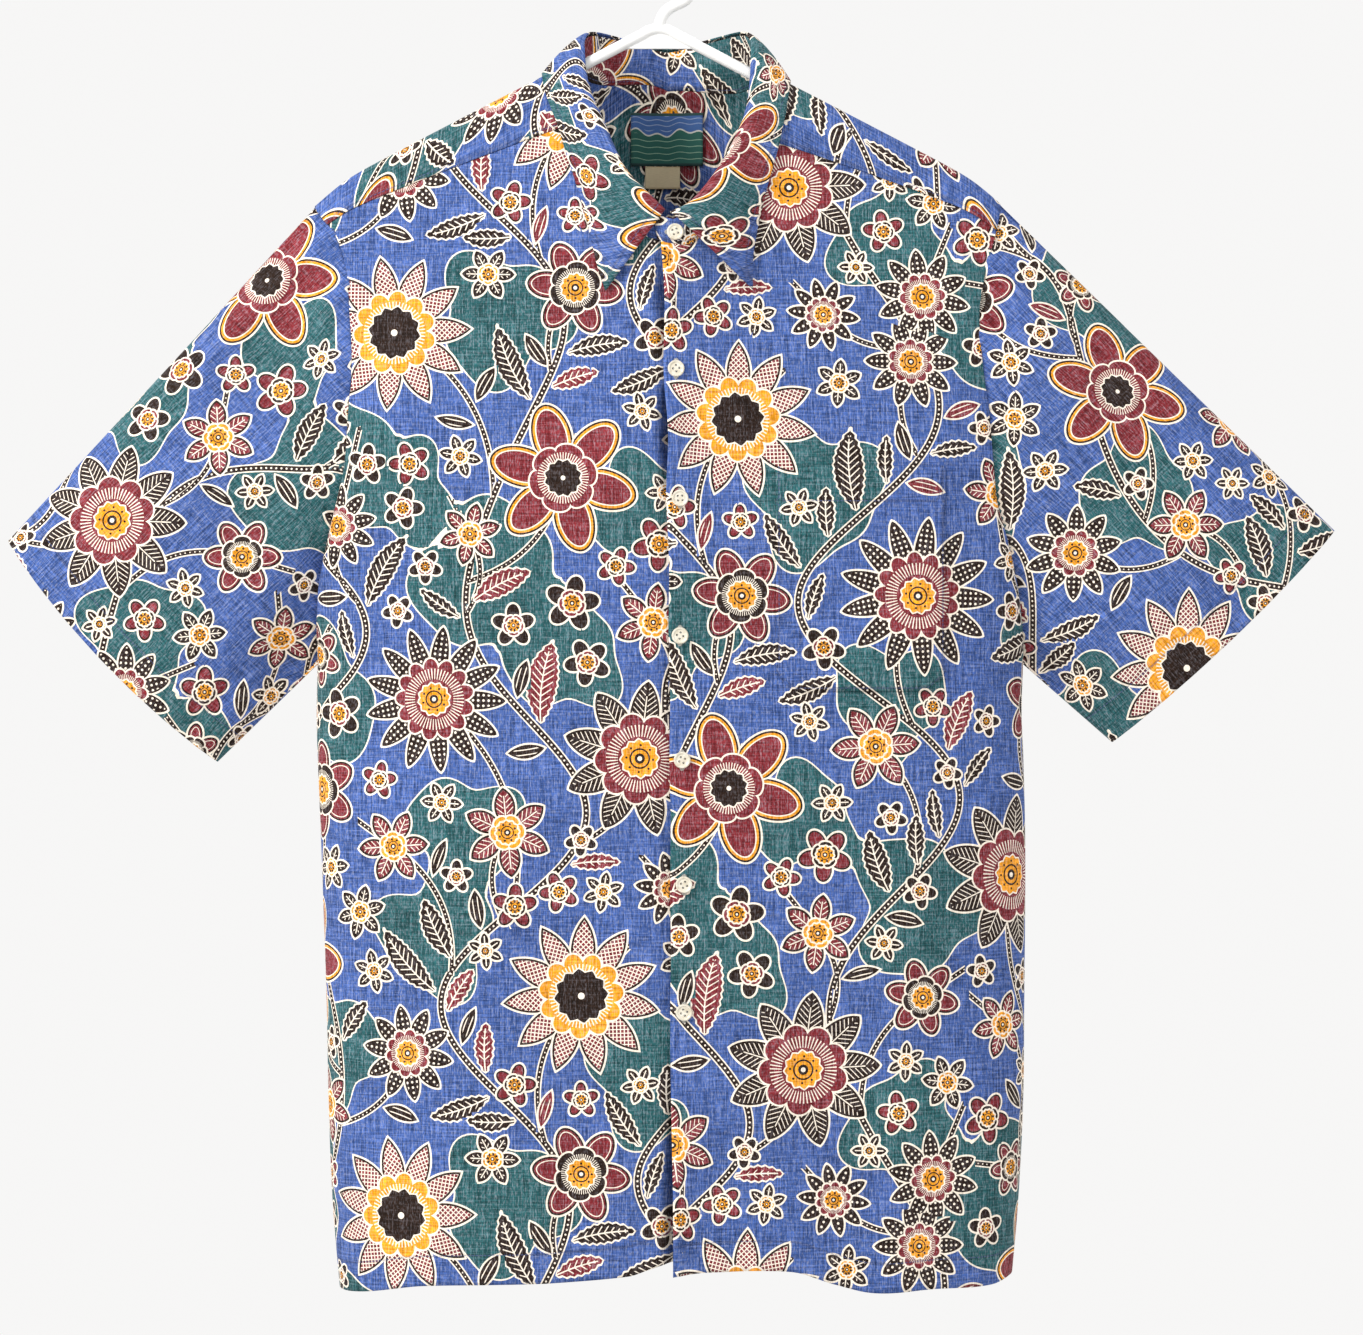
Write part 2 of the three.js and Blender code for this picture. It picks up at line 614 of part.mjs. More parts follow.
// Collar stand: its ends overlap in front, the wearer's left one on top
const standEnds = { under: -13, top: 366 };
const aroundCollar = [...collarStations, 180, ...collarStations.map((station) => 360 - station).reverse()];
const standStations = [standEnds.under, -4, ...aroundCollar, 360, standEnds.top];

function standSkin(a, b) {
  const station = listAt(standStations, a);
  const low = neckPlace(station);
  const bottom = shoulderAt(low.x, low.root);
  const fold = foldFrame(station);
  const cover = foldCover.round + foldCover.front * bell(sideOfStation(station).turn / foldCover.frontTurn);
  const top = fold.point.addScaledVector(fold.up, -cover);
  const height = bottom.distanceTo(top);
  const point = bottom.lerp(top, mix(standGap / height, 1, b));
  const sink = overlap.sink * (1 - smooth(6, 14, station));
  return point.addScaledVector(outwardAt(station), -sink);
}

// Collar leaf: it rolls over the stand's top edge and falls to its outer edge
const leafStations = [1.5, ...aroundCollar, 358.5];

function leafEdgePoint(station) {
  const at = sideOfStation(station);
  const x = read(leafRoots, 'turn', at.turn, `${at.side}X`);
  const root = read(leafRoots, 'turn', at.turn, `${at.side}Drop`);
  const step = 0.2;
  const point = shoulderAt(x, root);
  const over = shoulderAt(x, root + step).sub(point);
  const along = shoulderAt(x + step, root).sub(point);
  return point.addScaledVector(along.cross(over).normalize(), leafClear);
}

function leafSkin(a, b) {
  const station = listAt(leafStations, a);
  const fold = foldFrame(station);
  const start = fold.point.clone().addScaledVector(fold.out, -wall);
  const roll = fold.point.clone().addScaledVector(fold.out, leafRoll.out).addScaledVector(fold.up, leafRoll.up);
  const end = leafEdgePoint(station);
  const u = 1 - b;
  return start.multiplyScalar(u * u).addScaledVector(roll, 2 * u * b).addScaledVector(end, b * b);
}

// A flat piece lying on a face of the body: lift is how far its outer side stands off that face
function laidSkin(face, { left, right, topZ, bottomZ, mitre = 0 }, lift) {
  return (a, b) => {
    const x = mix(left, right, a);
    const corner = Math.max(0, mitre - Math.min(x - left, right - x));
    const z = mix(topZ, bottomZ + corner, b);
    const step = 0.5;
    const point = bodyAt(face, x, z);
    const across = bodyAt(face, x + step, z).sub(point);
    const down = bodyAt(face, x, z - step).sub(point);
    return point.addScaledVector(across.cross(down).normalize(), face * lift);
  };
}

function solidOf(geometry) {
  geometry.deleteAttribute('normal');
  geometry.deleteAttribute('uv');
  const merged = mergeVertices(geometry, 1e-3);
  return new wasm.Manifold(new wasm.Mesh({
    numProp: 3,
    vertProperties: merged.attributes.position.array,
    triVerts: new Uint32Array(merged.index.array),
  }));
}

function geometryOf(solid) {
  const mesh = solid.getMesh();
  const geometry = new THREE.BufferGeometry();
  geometry.setAttribute('position', new THREE.BufferAttribute(new Float32Array(mesh.vertProperties), 3));
  geometry.setIndex([...mesh.triVerts]);
  return geometry;
}

function tubeShape() {
  const corners = evenly(tubeSides).slice(0, -1).map((u) => {
    const angle = u * 2 * Math.PI;
    return new THREE.Vector2(tubeRadius * Math.cos(angle), tubeRadius * Math.sin(angle));
  });
  return new THREE.Shape(corners);
}

function tubeAlong(curve, steps) {
  return new THREE.ExtrudeGeometry(tubeShape(), { steps, bevelEnabled: false, extrudePath: curve });
}

function hangerGeometry() {
  const at = (x, z) => new THREE.Vector3(x, 0, z);
  const endZ = hanger.peakZ - armSlope * hanger.half;
  const bend = (side) => {
    const low = at(side * (hanger.half - hanger.corner), hanger.barZ);
    const armX = side * (hanger.half - hanger.corner);
    const arm = at(armX, hanger.peakZ - armSlope * (hanger.half - hanger.corner));
    return new THREE.CubicBezierCurve3(arm, at(side * (hanger.half + 4), endZ), at(side * hanger.half, hanger.barZ), low);
  };
  const peak = at(0, hanger.peakZ);
  const arms = new THREE.CurvePath();
  const left = bend(-1);
  const right = bend(1);
  arms.add(new THREE.LineCurve3(peak, left.v0));
  arms.add(left);
  arms.add(new THREE.LineCurve3(left.v3, right.v3));
  arms.add(new THREE.CubicBezierCurve3(right.v3, right.v2, right.v1, right.v0));
  arms.add(new THREE.LineCurve3(right.v0, peak));
  const pieces = arms.curves.map((curve) => tubeAlong(curve, curve.isLineCurve3 ? 1 : 7));
  const ball = (point) => new THREE.SphereGeometry(tubeRadius, tubeSides, 6).translate(point.x, point.y, point.z);
  pieces.push(ball(peak), ball(left.v0), ball(left.v3), ball(right.v0), ball(right.v3));
  const turns = evenly(10).map((u) => radians(198 - hanger.hookSweep * u));
  const route = turns.map((angle) => at(
    hanger.hookRadius * Math.cos(angle),
    tubeRadius - hanger.hookRadius + hanger.hookRadius * Math.sin(angle),
  ));
  route.push(at(9, -46.5), peak);
  pieces.push(tubeAlong(new THREE.CatmullRomCurve3(route), 30), ball(route[0]));
  return geometryOf(pieces.map(solidOf).reduce((whole, piece) => whole.add(piece)));
}

// Four-hole button with a raised rim, its back on Z = 0
function buttonGeometry() {
  const { radius, thick, rim, dish } = button;
  const profile = [
    [0, 0], [radius - 0.8, 0], [radius, 0.9], [radius - 0.4, thick], [radius - rim, thick],
    [radius - rim - 0.7, thick - dish], [0, thick - dish],
  ].map(([r, y]) => new THREE.Vector2(r, y));
  const disc = new THREE.LatheGeometry(profile, button.sides).rotateX(Math.PI / 2);
  let solid = solidOf(disc);
  for (const [sx, sy] of [[1, 1], [-1, 1], [-1, -1], [1, -1]]) {
    const hole = new THREE.CylinderGeometry(button.holeRadius, button.holeRadius, 3 * thick, 6);
    hole.rotateX(Math.PI / 2).translate(sx * button.holeSpread, sy * button.holeSpread, 0);
    solid = solid.subtract(solidOf(hole));
  }
  return geometryOf(solid);
}

const materials = {
  print: new THREE.MeshStandardMaterial({ color: '#4a5f9e', roughness: 0.85, metalness: 0 }),
  plastic: new THREE.MeshStandardMaterial({ color: '#f3f3f1', roughness: 0.35, metalness: 0 }),
  button: new THREE.MeshStandardMaterial({ color: '#e6dfc6', roughness: 0.4, metalness: 0 }),
  label: new THREE.MeshStandardMaterial({ color: '#1f6a58', roughness: 0.7, metalness: 0 }),
  tab: new THREE.MeshStandardMaterial({ color: '#e4d6ac', roughness: 0.75, metalness: 0 }),
};

const shirt = new THREE.Group();

function add(name, geometry, material) {
  const mesh = new THREE.Mesh(geometry, material);
  mesh.name = name;
  shirt.add(mesh);
  return mesh;
}

add('hanger', hangerGeometry(), materials.plastic);

const back = backSkin();
add('back_panel', clothWall(back.skin, { across: back.across, along: panelRows, sign: 1 }), materials.print);

const yokePiece = yokeSkin();
const yokeRows = evenly(yoke.rows);
add('yoke', clothWall(yokePiece.skin, { across: yokePiece.across, along: yokeRows, sign: 1 }), materials.print);

const fronts = [
  { name: 'front_right', side: -1, hem: frontRightHem },
  { name: 'front_left', side: 1, hem: frontLeftHem },
];
for (const { name, side, hem } of fronts) {
  const { skin, across } = frontSkin(side, hem);
  add(name, clothWall(skin, { across, along: panelRows, sign: side }), materials.print);
}

for (const piece of sleeves) {
  const options = { across: evenly(sleeve.around), along: evenly(sleeve.rows), sign: piece.side, wraps: true };
  add(piece.name, clothWall(sleeveSkin(piece), options), materials.print);
}

const standOptions = { across: evenly(standStations.length - 1), along: evenly(2), sign: -1 };
add('collar_stand', clothWall(standSkin, standOptions), materials.print);
const leafOptions = { across: evenly(leafStations.length - 1), along: leafRows, sign: 1 };
add('collar_leaf', clothWall(leafSkin, leafOptions), materials.print);

const pocketSkin = laidSkin(-1, pocket, layGap + pocket.wall);
const pocketOptions = { across: [0, 0.1, 0.3, 0.5, 0.7, 0.9, 1], along: evenly(8), sign: -1, thick: pocket.wall };
add('pocket', clothWall(pocketSkin, pocketOptions), materials.print);

// The label and the tab lie on the inside of the yoke, so they stand off it inwards
for (const [name, piece, material] of [['label', label, materials.label], ['size_tab', sizeTab, materials.tab]]) {
  const skin = laidSkin(1, piece, -(wall + layGap));
  add(name, clothWall(skin, { across: evenly(5), along: evenly(3), sign: 1, thick: piece.wall }), material);
}

// Sews a button on at a point of a skin that takes two values
function sewButton(number, skin, a, b, step, spin) {
  const mesh = add(`button_${number}`, buttonGeometry(), materials.button);
  const across = skin(a + step, b).sub(skin(a - step, b));
  const down = skin(a, b - step).sub(skin(a, b + step));
  const out = down.cross(across).normalize();
  if (out.y > 0) out.negate();
  mesh.position.copy(skin(a, b)).addScaledVector(out, seamGap);
  mesh.quaternion.setFromUnitVectors(new THREE.Vector3(0, 0, 1), out);
  mesh.rotateZ(radians(spin));
}

sewButton(1, standSkin, standButton.place, standButton.height, 0.005, standButton.spin);
for (const [i, { x, z, spin }] of buttons.entries()) {
  sewButton(i + 2, (a, b) => bodyAt(-1, a, b), x, z, button.radius, spin);
}

export default shirt;
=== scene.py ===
import math
import bpy
import bmesh
import numpy as np
from mathutils import Matrix, Vector


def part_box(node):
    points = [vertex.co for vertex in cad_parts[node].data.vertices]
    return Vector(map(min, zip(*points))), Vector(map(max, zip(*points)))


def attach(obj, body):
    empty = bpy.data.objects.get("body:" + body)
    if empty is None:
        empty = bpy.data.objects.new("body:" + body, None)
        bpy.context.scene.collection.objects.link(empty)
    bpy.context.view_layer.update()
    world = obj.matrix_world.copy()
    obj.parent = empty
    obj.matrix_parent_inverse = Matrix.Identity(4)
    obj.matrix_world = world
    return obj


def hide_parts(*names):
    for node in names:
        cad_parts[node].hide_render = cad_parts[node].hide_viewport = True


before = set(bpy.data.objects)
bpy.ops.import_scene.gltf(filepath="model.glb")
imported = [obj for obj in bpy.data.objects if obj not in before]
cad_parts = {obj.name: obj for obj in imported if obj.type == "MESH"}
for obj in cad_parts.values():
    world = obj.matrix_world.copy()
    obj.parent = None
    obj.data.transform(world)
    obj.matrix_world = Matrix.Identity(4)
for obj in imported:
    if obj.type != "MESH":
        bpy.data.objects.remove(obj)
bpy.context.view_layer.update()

scene = bpy.context.scene
mm = 0.001


def placeObject(name, data):
    made = bpy.data.objects.new(name, data)
    scene.collection.objects.link(made)
    return made


# camera and light
view = {"across": 0.0155, "away": 3.0, "height": -0.4985, "seenWidth": 0.9405, "sensor": 36}
camera = bpy.data.cameras.new("camera")
camera.sensor_fit = "HORIZONTAL"
camera.sensor_width = view["sensor"]
camera.lens = view["sensor"] * view["away"] / view["seenWidth"]
cameraObject = placeObject("camera", camera)
cameraObject.location = (view["across"], -view["away"], view["height"])
cameraObject.rotation_euler = (math.pi / 2, 0, 0)
scene.camera = cameraObject
scene.view_settings.view_transform = "Standard"

world = bpy.data.worlds.new("room")
world.use_nodes = True
room = world.node_tree.nodes["Background"].inputs
room["Color"].default_value = (1.0, 0.995, 0.99, 1)
room["Strength"].default_value = 0.93
scene.world = world

lightsAimAt = Vector((0, 0, -0.5))
softBoxes = [
    {"name": "keyLight", "at": (-2.3, -1.7, 1.2), "size": 1.0, "power": 96, "tint": (1, 0.98, 0.95)},
    {"name": "fillLight", "at": (2.0, -2.2, 0.2), "size": 1.8, "power": 10, "tint": (0.95, 0.97, 1)},
    {"name": "backLight", "at": (0.3, 2.4, 1.0), "size": 1.6, "power": 22, "tint": (1, 1, 1)},
]
for box in softBoxes:
    light = bpy.data.lights.new(box["name"], "AREA")
    light.size = box["size"]
    light.energy = box["power"]
    light.color = box["tint"]
    lamp = placeObject(box["name"], light)
    lamp.location = box["at"]
    lamp.rotation_euler = (lightsAimAt - lamp.location).to_track_quat("-Z", "Y").to_euler()
print("camera and lights placed")


# node writing: materials are written as sums of wires
class Wire:
    def __init__(self, socket):
        self.socket = socket

    def __add__(self, other):
        return step("ADD", self, other)

    def __sub__(self, other):
        return step("SUBTRACT", self, other)

    def __rsub__(self, other):
        return step("SUBTRACT", other, self)

    def __mul__(self, other):
        return step("MULTIPLY", self, other)

    def __truediv__(self, other):
        return step("DIVIDE", self, other)

    def __lt__(self, other):
        return step("LESS_THAN", self, other)

    def __gt__(self, other):
        return step("GREATER_THAN", self, other)


writing = {"tree": None}  # the node tree that is being written


def node(kind, **settings):
    made = writing["tree"].nodes.new(kind)
    for key, value in settings.items():
        setattr(made, key, value)
    return made


def plug(socket, value):
    if isinstance(value, Wire):
        writing["tree"].links.new(value.socket, socket)
    else:
        socket.default_value = value


def wired(kind, values, output=0, **settings):  # a node with its inputs set, as a wire from one output
    made = node(kind, **settings)
    for socket, value in values.items():
        plug(made.inputs[socket], value)
    return Wire(made.outputs[output])


def step(operation, *values):
    return wired("ShaderNodeMath", dict(enumerate(values)), operation=operation)


def root(value):
    return step("SQRT", value)


def size(value):
    return step("ABSOLUTE", value)


def part(value):
    return step("FRACT", value)


def least(a, b):
    return step("MINIMUM", a, b)


def most(a, b):
    return step("MAXIMUM", a, b)


def length2(a, b):
    return root(a * a + b * b)


def between(value, low, high):
    return (value > low) * (value < high)


def blend(share, a, b, way="MIX"):
    return wired("ShaderNodeMix", {0: share, 6: a, 7: b}, 2, data_type="RGBA", blend_type=way)


def blendNumber(share, a, b):
    return wired("ShaderNodeMix", {0: share, 2: a, 3: b}, data_type="FLOAT")


def split(vector):
    made = node("ShaderNodeSeparateXYZ")
    plug(made.inputs[0], vector)
    return [Wire(socket) for socket in made.outputs]


def layer(name):
    return split(wired("ShaderNodeAttribute", {}, "Vector", attribute_name=name))


def paint(name):
    return wired("ShaderNodeAttribute", {}, "Color", attribute_name=name)


def coords(kind):
    return wired("ShaderNodeTexCoord", {}, kind)


def joined(x, y, z=0.0):
    return wired("ShaderNodeCombineXYZ", {0: x, 1: y, 2: z})


def grey(value):
    return wired("ShaderNodeCombineColor", {0: value, 1: value, 2: value})


def lightness(colour):
    return wired("ShaderNodeRGBToBW", {0: colour})


def noise(at, scale, detail=2.0, rough=0.5):
    settings = {"Vector": at, "Scale": scale, "Detail": detail, "Roughness": rough}
    return wired("ShaderNodeTexNoise", settings, "Fac")


def ramp(value, low, high, start=0.0, end=1.0):
    return wired("ShaderNodeMapRange", dict(enumerate((value, low, high, start, end))))


def startMaterial(name, roughness, **sockets):
    material = bpy.data.materials.new(name)
    material.use_nodes = True
    writing["tree"] = material.node_tree
    shader = material.node_tree.nodes["Principled BSDF"]
    shader.inputs["Roughness"].default_value = roughness
    for socket, value in sockets.items():
        shader.inputs[socket.replace("_", " ")].default_value = value
    return material, shader


def bump(shader, height, distance, strength=1.0):
    settings = {"Strength": strength, "Distance": distance, "Height": height}
    plug(shader.inputs["Normal"], wired("ShaderNodeBump", settings))


# print colours
ink = {
    "blue": (0.046, 0.097, 0.31, 1),
    "teal": (0.018, 0.094, 0.104, 1),
    "cream": (0.93, 0.83, 0.7, 1),
    "brown": (0.02, 0.009, 0.005, 1),
    "maroon": (0.19, 0.018, 0.024, 1),
    "orange": (0.84, 0.33, 0.01, 1),
}


# print lines and pitches, in millimetres
printLine = {
    "outline": 0.55, "vineRim": 0.9, "vineDots": 3.4, "toothPitch": 5.0, "combPitch": 4.6, "stripePitch": 3.4,
    "veinPitch": 3.8, "latticePitch": 3.6, "dotSize": 0.85, "fringes": 54.0, "coreTeeth": 12.0,
    "coreBeads": 8,
}


def groundInk():  # blue with teal patches, each edged in cream
    field = layer("ground")[0]
    colour = blend(field < 0.0, ink["blue"], ink["teal"])
    return blend(size(field) < printLine["outline"], colour, ink["cream"])


def vineInk(colour):  # a brown band with cream edges and a row of dots
    run, off, thick = layer("vine")
    away = size(off)
    dot = (part(run / printLine["vineDots"]) - 0.5) * printLine["vineDots"]
    band = blend(length2(dot, off) < thick * 0.36, ink["brown"], ink["cream"])
    band = blend(away > thick, band, ink["cream"])
    return blend(away < thick + printLine["vineRim"], colour, band)


def leafInk(colour):  # two arcs with teeth, a midrib and comb veins, or long stripes
    along, over, leafLong = layer("leafAt")
    leafWide, tooth, style = layer("leafForm")
    tall = leafLong * 0.5
    shift = (tall * tall - leafWide * leafWide) / (leafWide * 2.0)
    wide = tall * tall + leafWide * leafWide
    edge = length2(along - tall, size(over) + shift) - wide / (leafWide * 2.0)
    edge = edge + size(part(along / printLine["toothPitch"]) - 0.5) * tooth
    comb = part((along - size(over) * 0.85) / printLine["combPitch"]) < 0.21
    comb = comb * (edge < -2.6) * (size(over) > 0.4)
    comb = most(comb, (size(over) < 0.45) * (along < leafLong * 0.86))
    stripes = (part(over / printLine["stripePitch"] + 0.5) < 0.2) * (edge < -1.8)
    blade = blend(blendNumber(style > 0.5, comb, stripes), paint("leafTint"), ink["cream"])
    blade = blend(edge > -0.5, blade, ink["cream"])
    return blend(edge < 0.7, colour, blade)


def petalPlace(flower, offset):  # how far out along its petal, and how far aside of its middle
    angle = (part(flower["turn"] * flower["petals"] + offset) - 0.5) * flower["wedge"]
    return flower["r"] * step("COSINE", angle), flower["r"] * step("SINE", angle)


def ellipseEdge(x, y, long, wide):  # distance outside an ellipse, roughly
    ex, ey = x / long, y / wide
    return (ex * ex + ey * ey - 1.0) / (length2(ex / long, ey / wide) * 2.0 + 0.001)


def petalInk(colour, flower):
    px, py = petalPlace(flower, 20.0)
    reach, w, pattern = flower["reach"], flower["petalWide"], flower["pattern"]
    half = reach * 0.44
    fromMiddle = px - reach * 0.56
    arc = (half * half - w * w) / (w * 2.0)
    sharp = length2(fromMiddle, size(py) + arc) - (half * half + w * w) / (w * 2.0)
    edge = blendNumber(flower["pointed"], ellipseEdge(fromMiddle, py, half, w), sharp)
    toSide = flower["r"] * step("SINE", flower["wedge"] * 0.5) - size(py)
    vein = (part((px - size(py) * 0.9) / printLine["veinPitch"]) < 0.2) * (size(py) > 1.0) * (edge < -2.0)
    vein = most(vein, (size(py) < 0.4) * (px < reach * 0.8))
    pitch = printLine["latticePitch"]
    lattice = most(part((px + py) / pitch) < 0.26, part((px - py) / pitch) < 0.26)
    far = length2((part(px / pitch) - 0.5) * pitch, (part(py / pitch + 0.5) - 0.5) * pitch)
    dots = far < printLine["dotSize"]
    fill = blendNumber(pattern > 0.5, vein, lattice)
    for number, motif in ((1.5, dots), (2.5, between(edge, -4.3, -3.4)), (3.5, 0.0)):
        fill = blendNumber(pattern > number, fill, motif)
    heart = (edge + reach * 0.085) * (pattern > 4.5)
    petal = blend(fill, paint("flowerTint"), ink["cream"])
    petal = blend(heart < 0.0, petal, paint("ringTint"))
    petal = blend((size(heart) < printLine["outline"]) * (pattern > 4.5), petal, ink["cream"])
    petal = blend(between(edge, -1.9, 0.0), petal, ink["brown"])
    petal = blend(edge > -printLine["outline"], petal, ink["cream"])
    petal = blend((toSide < 0.5) * (edge < 0.0), petal, ink["cream"])
    return blend(edge < 0.75, colour, petal)


def ringInk(colour, flower):  # the scalloped inner ring, fringed
    qx, qy = petalPlace(flower, 20.5)
    r, reach = flower["r"], flower["ringReach"]
    wide = reach * step("SINE", flower["wedge"] * 0.5) * 0.9
    edge = least(ellipseEdge(qx - reach * 0.78, qy, reach * 0.3, wide), r - reach * 0.8)
    fringe = (part(flower["turn"] * printLine["fringes"]) < 0.34) * (r < reach * 0.8) * (r > reach * 0.52)
    ring = blend(fringe, paint("ringTint"), ink["cream"])
    ring = blend(edge > -0.6, ring, ink["cream"])
    return blend(edge < 0.6, colour, ring)


def coreInk(colour, flower):  # the toothed core with its beads
    r, reach, turn = flower["r"], flower["coreReach"], flower["turn"]
    tooth = (part(turn * printLine["coreTeeth"]) - 0.5) * 2.0
    edge = r - reach * (size(tooth) * 0.16 + 1.0)
    core = blend(between(r, reach * 0.5, reach * 0.6), paint("coreTint"), ink["brown"])
    bead = (part(turn * printLine["coreBeads"]) - 0.5) * (2 * math.pi / printLine["coreBeads"]) * r
    core = blend(length2(bead, r - reach * 0.78) < 0.8, core, ink["brown"])
    core = blend(r < reach * 0.3, core, ink["brown"])
    core = blend(r < reach * 0.14, core, ink["cream"])
    core = blend(edge > -printLine["outline"], core, ink["cream"])
    return blend(edge < printLine["outline"], colour, core)


def flowerInk(colour):
    x, y, reach = layer("flowerAt")
    petals, petalWide, pointed = layer("flowerForm")
    pattern, ringReach, coreReach = layer("flowerHeart")
    flower = {
        "r": length2(x, y), "turn": step("ARCTAN2", y, x) / (2 * math.pi), "reach": reach, "petals": petals,
        "wedge": step("DIVIDE", 2 * math.pi, petals), "petalWide": petalWide, "pointed": pointed,
        "pattern": pattern, "ringReach": ringReach, "coreReach": coreReach,
    }
    return coreInk(ringInk(petalInk(colour, flower), flower), flower)


def printMaterial():
    material, shader = startMaterial("printedCotton", 0.82, Sheen_Weight=0.03, Sheen_Roughness=0.5)
    shader.inputs["Specular IOR Level"].default_value = 0.14
    colour = flowerInk(leafInk(vineInk(groundInk())))

    # the dye takes unevenly on slubbed yarns, more so lengthways, and less shows on the cream of bare cloth;
    # beside the stitched rows the cloth is darkened as painted shade
    u, v = layer("cutAt")[:2]
    fromRow, alongRow = layer("sewn")[:2]
    warp = noise(joined(u * 0.85, v * 0.045), 1.0, 3.0, 0.75)
    weft = noise(joined(u * 0.05, v * 0.8, 7.0), 1.0, 3.0, 0.75)
    fleck = noise(joined(u * 1.1, v * 0.35, 3.0), 1.0, 2.0, 0.6)
    cloud = noise(joined(u * 0.012, v * 0.012, 5.0), 1.0, 2.0)
    dyeAndSeamShade = ramp(warp, 0.33, 0.67, 0.42, 1.62) * ramp(weft, 0.33, 0.67, 0.52, 1.5)
    # painted shade: within about 1.5 mm of each stitched row the colour is darkened down to 0.62, as the
    # shadow in the row's dimple
    dyeAndSeamShade = dyeAndSeamShade * ramp(cloud, 0.3, 0.7, 0.9, 1.1) * ramp(size(fromRow), 0.2, 1.5, 0.62, 1.0)
    dyed = ramp(lightness(colour), 0.35, 0.7, 1.0, 0.4)
    colour = blend(dyed, colour, grey(dyeAndSeamShade), "MULTIPLY")
    pale = most(ramp(warp * fleck, 0.25, 0.38, 0.0, 0.46), ramp(weft * fleck, 0.26, 0.38, 0.0, 0.36))
    pale = pale * ramp(lightness(colour), 0.0, 0.08, 0.3, 1.0) * dyed
    colour = blend(pale, colour, (0.36, 0.37, 0.43, 1))

    # topstitching beside the edges
    thread = (size(fromRow) < 0.32) * (part(alongRow / 2.8) < 0.68)
    plug(shader.inputs["Base Color"], blend(thread * 0.55, colour, (0.1, 0.13, 0.3, 1)))

    # relief of the weave, the yarn's slubs and the stitched rows
    plain = step("SINE", u * 9.5) * step("SINE", v * 9.5)
    dimple = ramp(size(fromRow), 0.0, 1.6, -1.0, 0.0)
    bump(shader, plain * 0.05 + warp * 0.22 + weft * 0.2 + dimple * 0.7 + thread * 0.3, 0.00035, 0.7)
    return material


printed = printMaterial()
print("print drawn:", len(printed.node_tree.nodes), "nodes")


# the shirt's form, in millimetres
def readTable(keys, values, at):  # a smooth curve through the table's values
    keys, values = np.asarray(keys, float), np.asarray(values, float)
    order = 1.0 if keys[-1] > keys[0] else -1.0
    k, a = order * keys, order * np.asarray(at, float)
    last = len(k) - 1
    low, high = np.maximum(np.arange(last + 1) - 1, 0), np.minimum(np.arange(last + 1) + 1, last)
    slope = (values[high] - values[low]) / (k[high] - k[low])
    i = np.searchsorted(k[1:-1], a, side="left")
    span = k[i + 1] - k[i]
    u = np.clip((a - k[i]) / span, 0, 1)
    return ((2 * u**3 - 3 * u**2 + 1) * values[i] + (u**3 - 2 * u**2 + u) * slope[i] * span
            + (3 * u**2 - 2 * u**3) * values[i + 1] + (u**3 - u**2) * slope[i + 1] * span)


def bell(u):
    return np.exp(-u * u)


def ease(low, high, at):
    t = np.clip((at - low) / (high - low), 0, 1)
    return t * t * (3 - 2 * t)


def unit(v):
    return v / np.maximum(np.linalg.norm(v, axis=-1, keepdims=True), 1e-9)


def signedRoot(drop):
    return np.sign(drop) * np.sqrt(np.abs(drop))


form = {
    "peak": -55.9, "armHalf": 213, "armSlope": 0.5206, "ridgeRise": 7.8, "ridgeRound": 15, "pastArm": 4,
    "pastSoft": 10, "pastSlope": 0.9, "square": 2.6, "neckX": 6, "neckHalf": 68, "foldHalf": 59,
    "foldDepth": 50, "yokeBack": -205, "yokeEnd": 22, "bend": 12.4, "roundDepth": 9, "wedge": 0.2,
}
depthAt = [-50, -300, -500, -700, -930]  # heights of the depths below
girth = {
    -1: {"depths": [60, 62, 66, 70, 74], "neckPush": 11, "neckWide": 45, "from": 160, "over": 120},
    1: {"depths": [56, 58, 62, 66, 70], "neckPush": 35, "neckWide": 68, "from": 43, "over": 150},
}
frontEdge = np.array([  # height, left side, right side, share of the depth kept
    (-120, -237.4, 235.3, 1), (-180, -237.4, 235.3, 1), (-200, -223, 231.5, 1),
    (-225, -214.5, 224.6, 0.94), (-255, -211.8, 219.6, 0.88), (-290, -210, 221.5, 0.8),
    (-325, -212.5, 226, 0.72), (-360, -215, 229, 0.64), (-385, -220.5, 231.5, 0.57),
    (-412, -227, 239, 0.48), (-440, -233, 245.5, 0.36), (-468, -235.2, 249.5, 0.22),
    (-484, -235.3, 251, 0.1), (-495, -235.4, 251, 0), (-530, -236, 250, 0), (-560, -235.3, 251.2, 0),
    (-624, -232.7, 252.5, 0), (-728, -229.1, 251.8, 0), (-797, -227.7, 251, 0), (-866, -224.9, 247.5, 0),
    (-930, -219.5, 242, 0)])
backEdge = np.array([
    (-120, -237.4, 235.3, 1), (-180, -237.4, 235.3, 1), (-205, -229, 233, 1), (-268, -222, 229, 0.9),
    (-347, -221.5, 233, 0.8), (-412, -227, 240.5, 0.62), (-440, -233, 246, 0.48), (-468, -235.2, 249.7, 0.26),
    (-484, -235.3, 251, 0.12), (-495, -235.4, 251, 0), (-530, -236, 250, 0), (-560, -235.3, 251.2, 0),
    (-624, -232.7, 252.5, 0), (-728, -229.1, 251.8, 0), (-797, -227.7, 251, 0), (-866, -224.9, 247.5, 0),
    (-930, -219.5, 242, 0)])
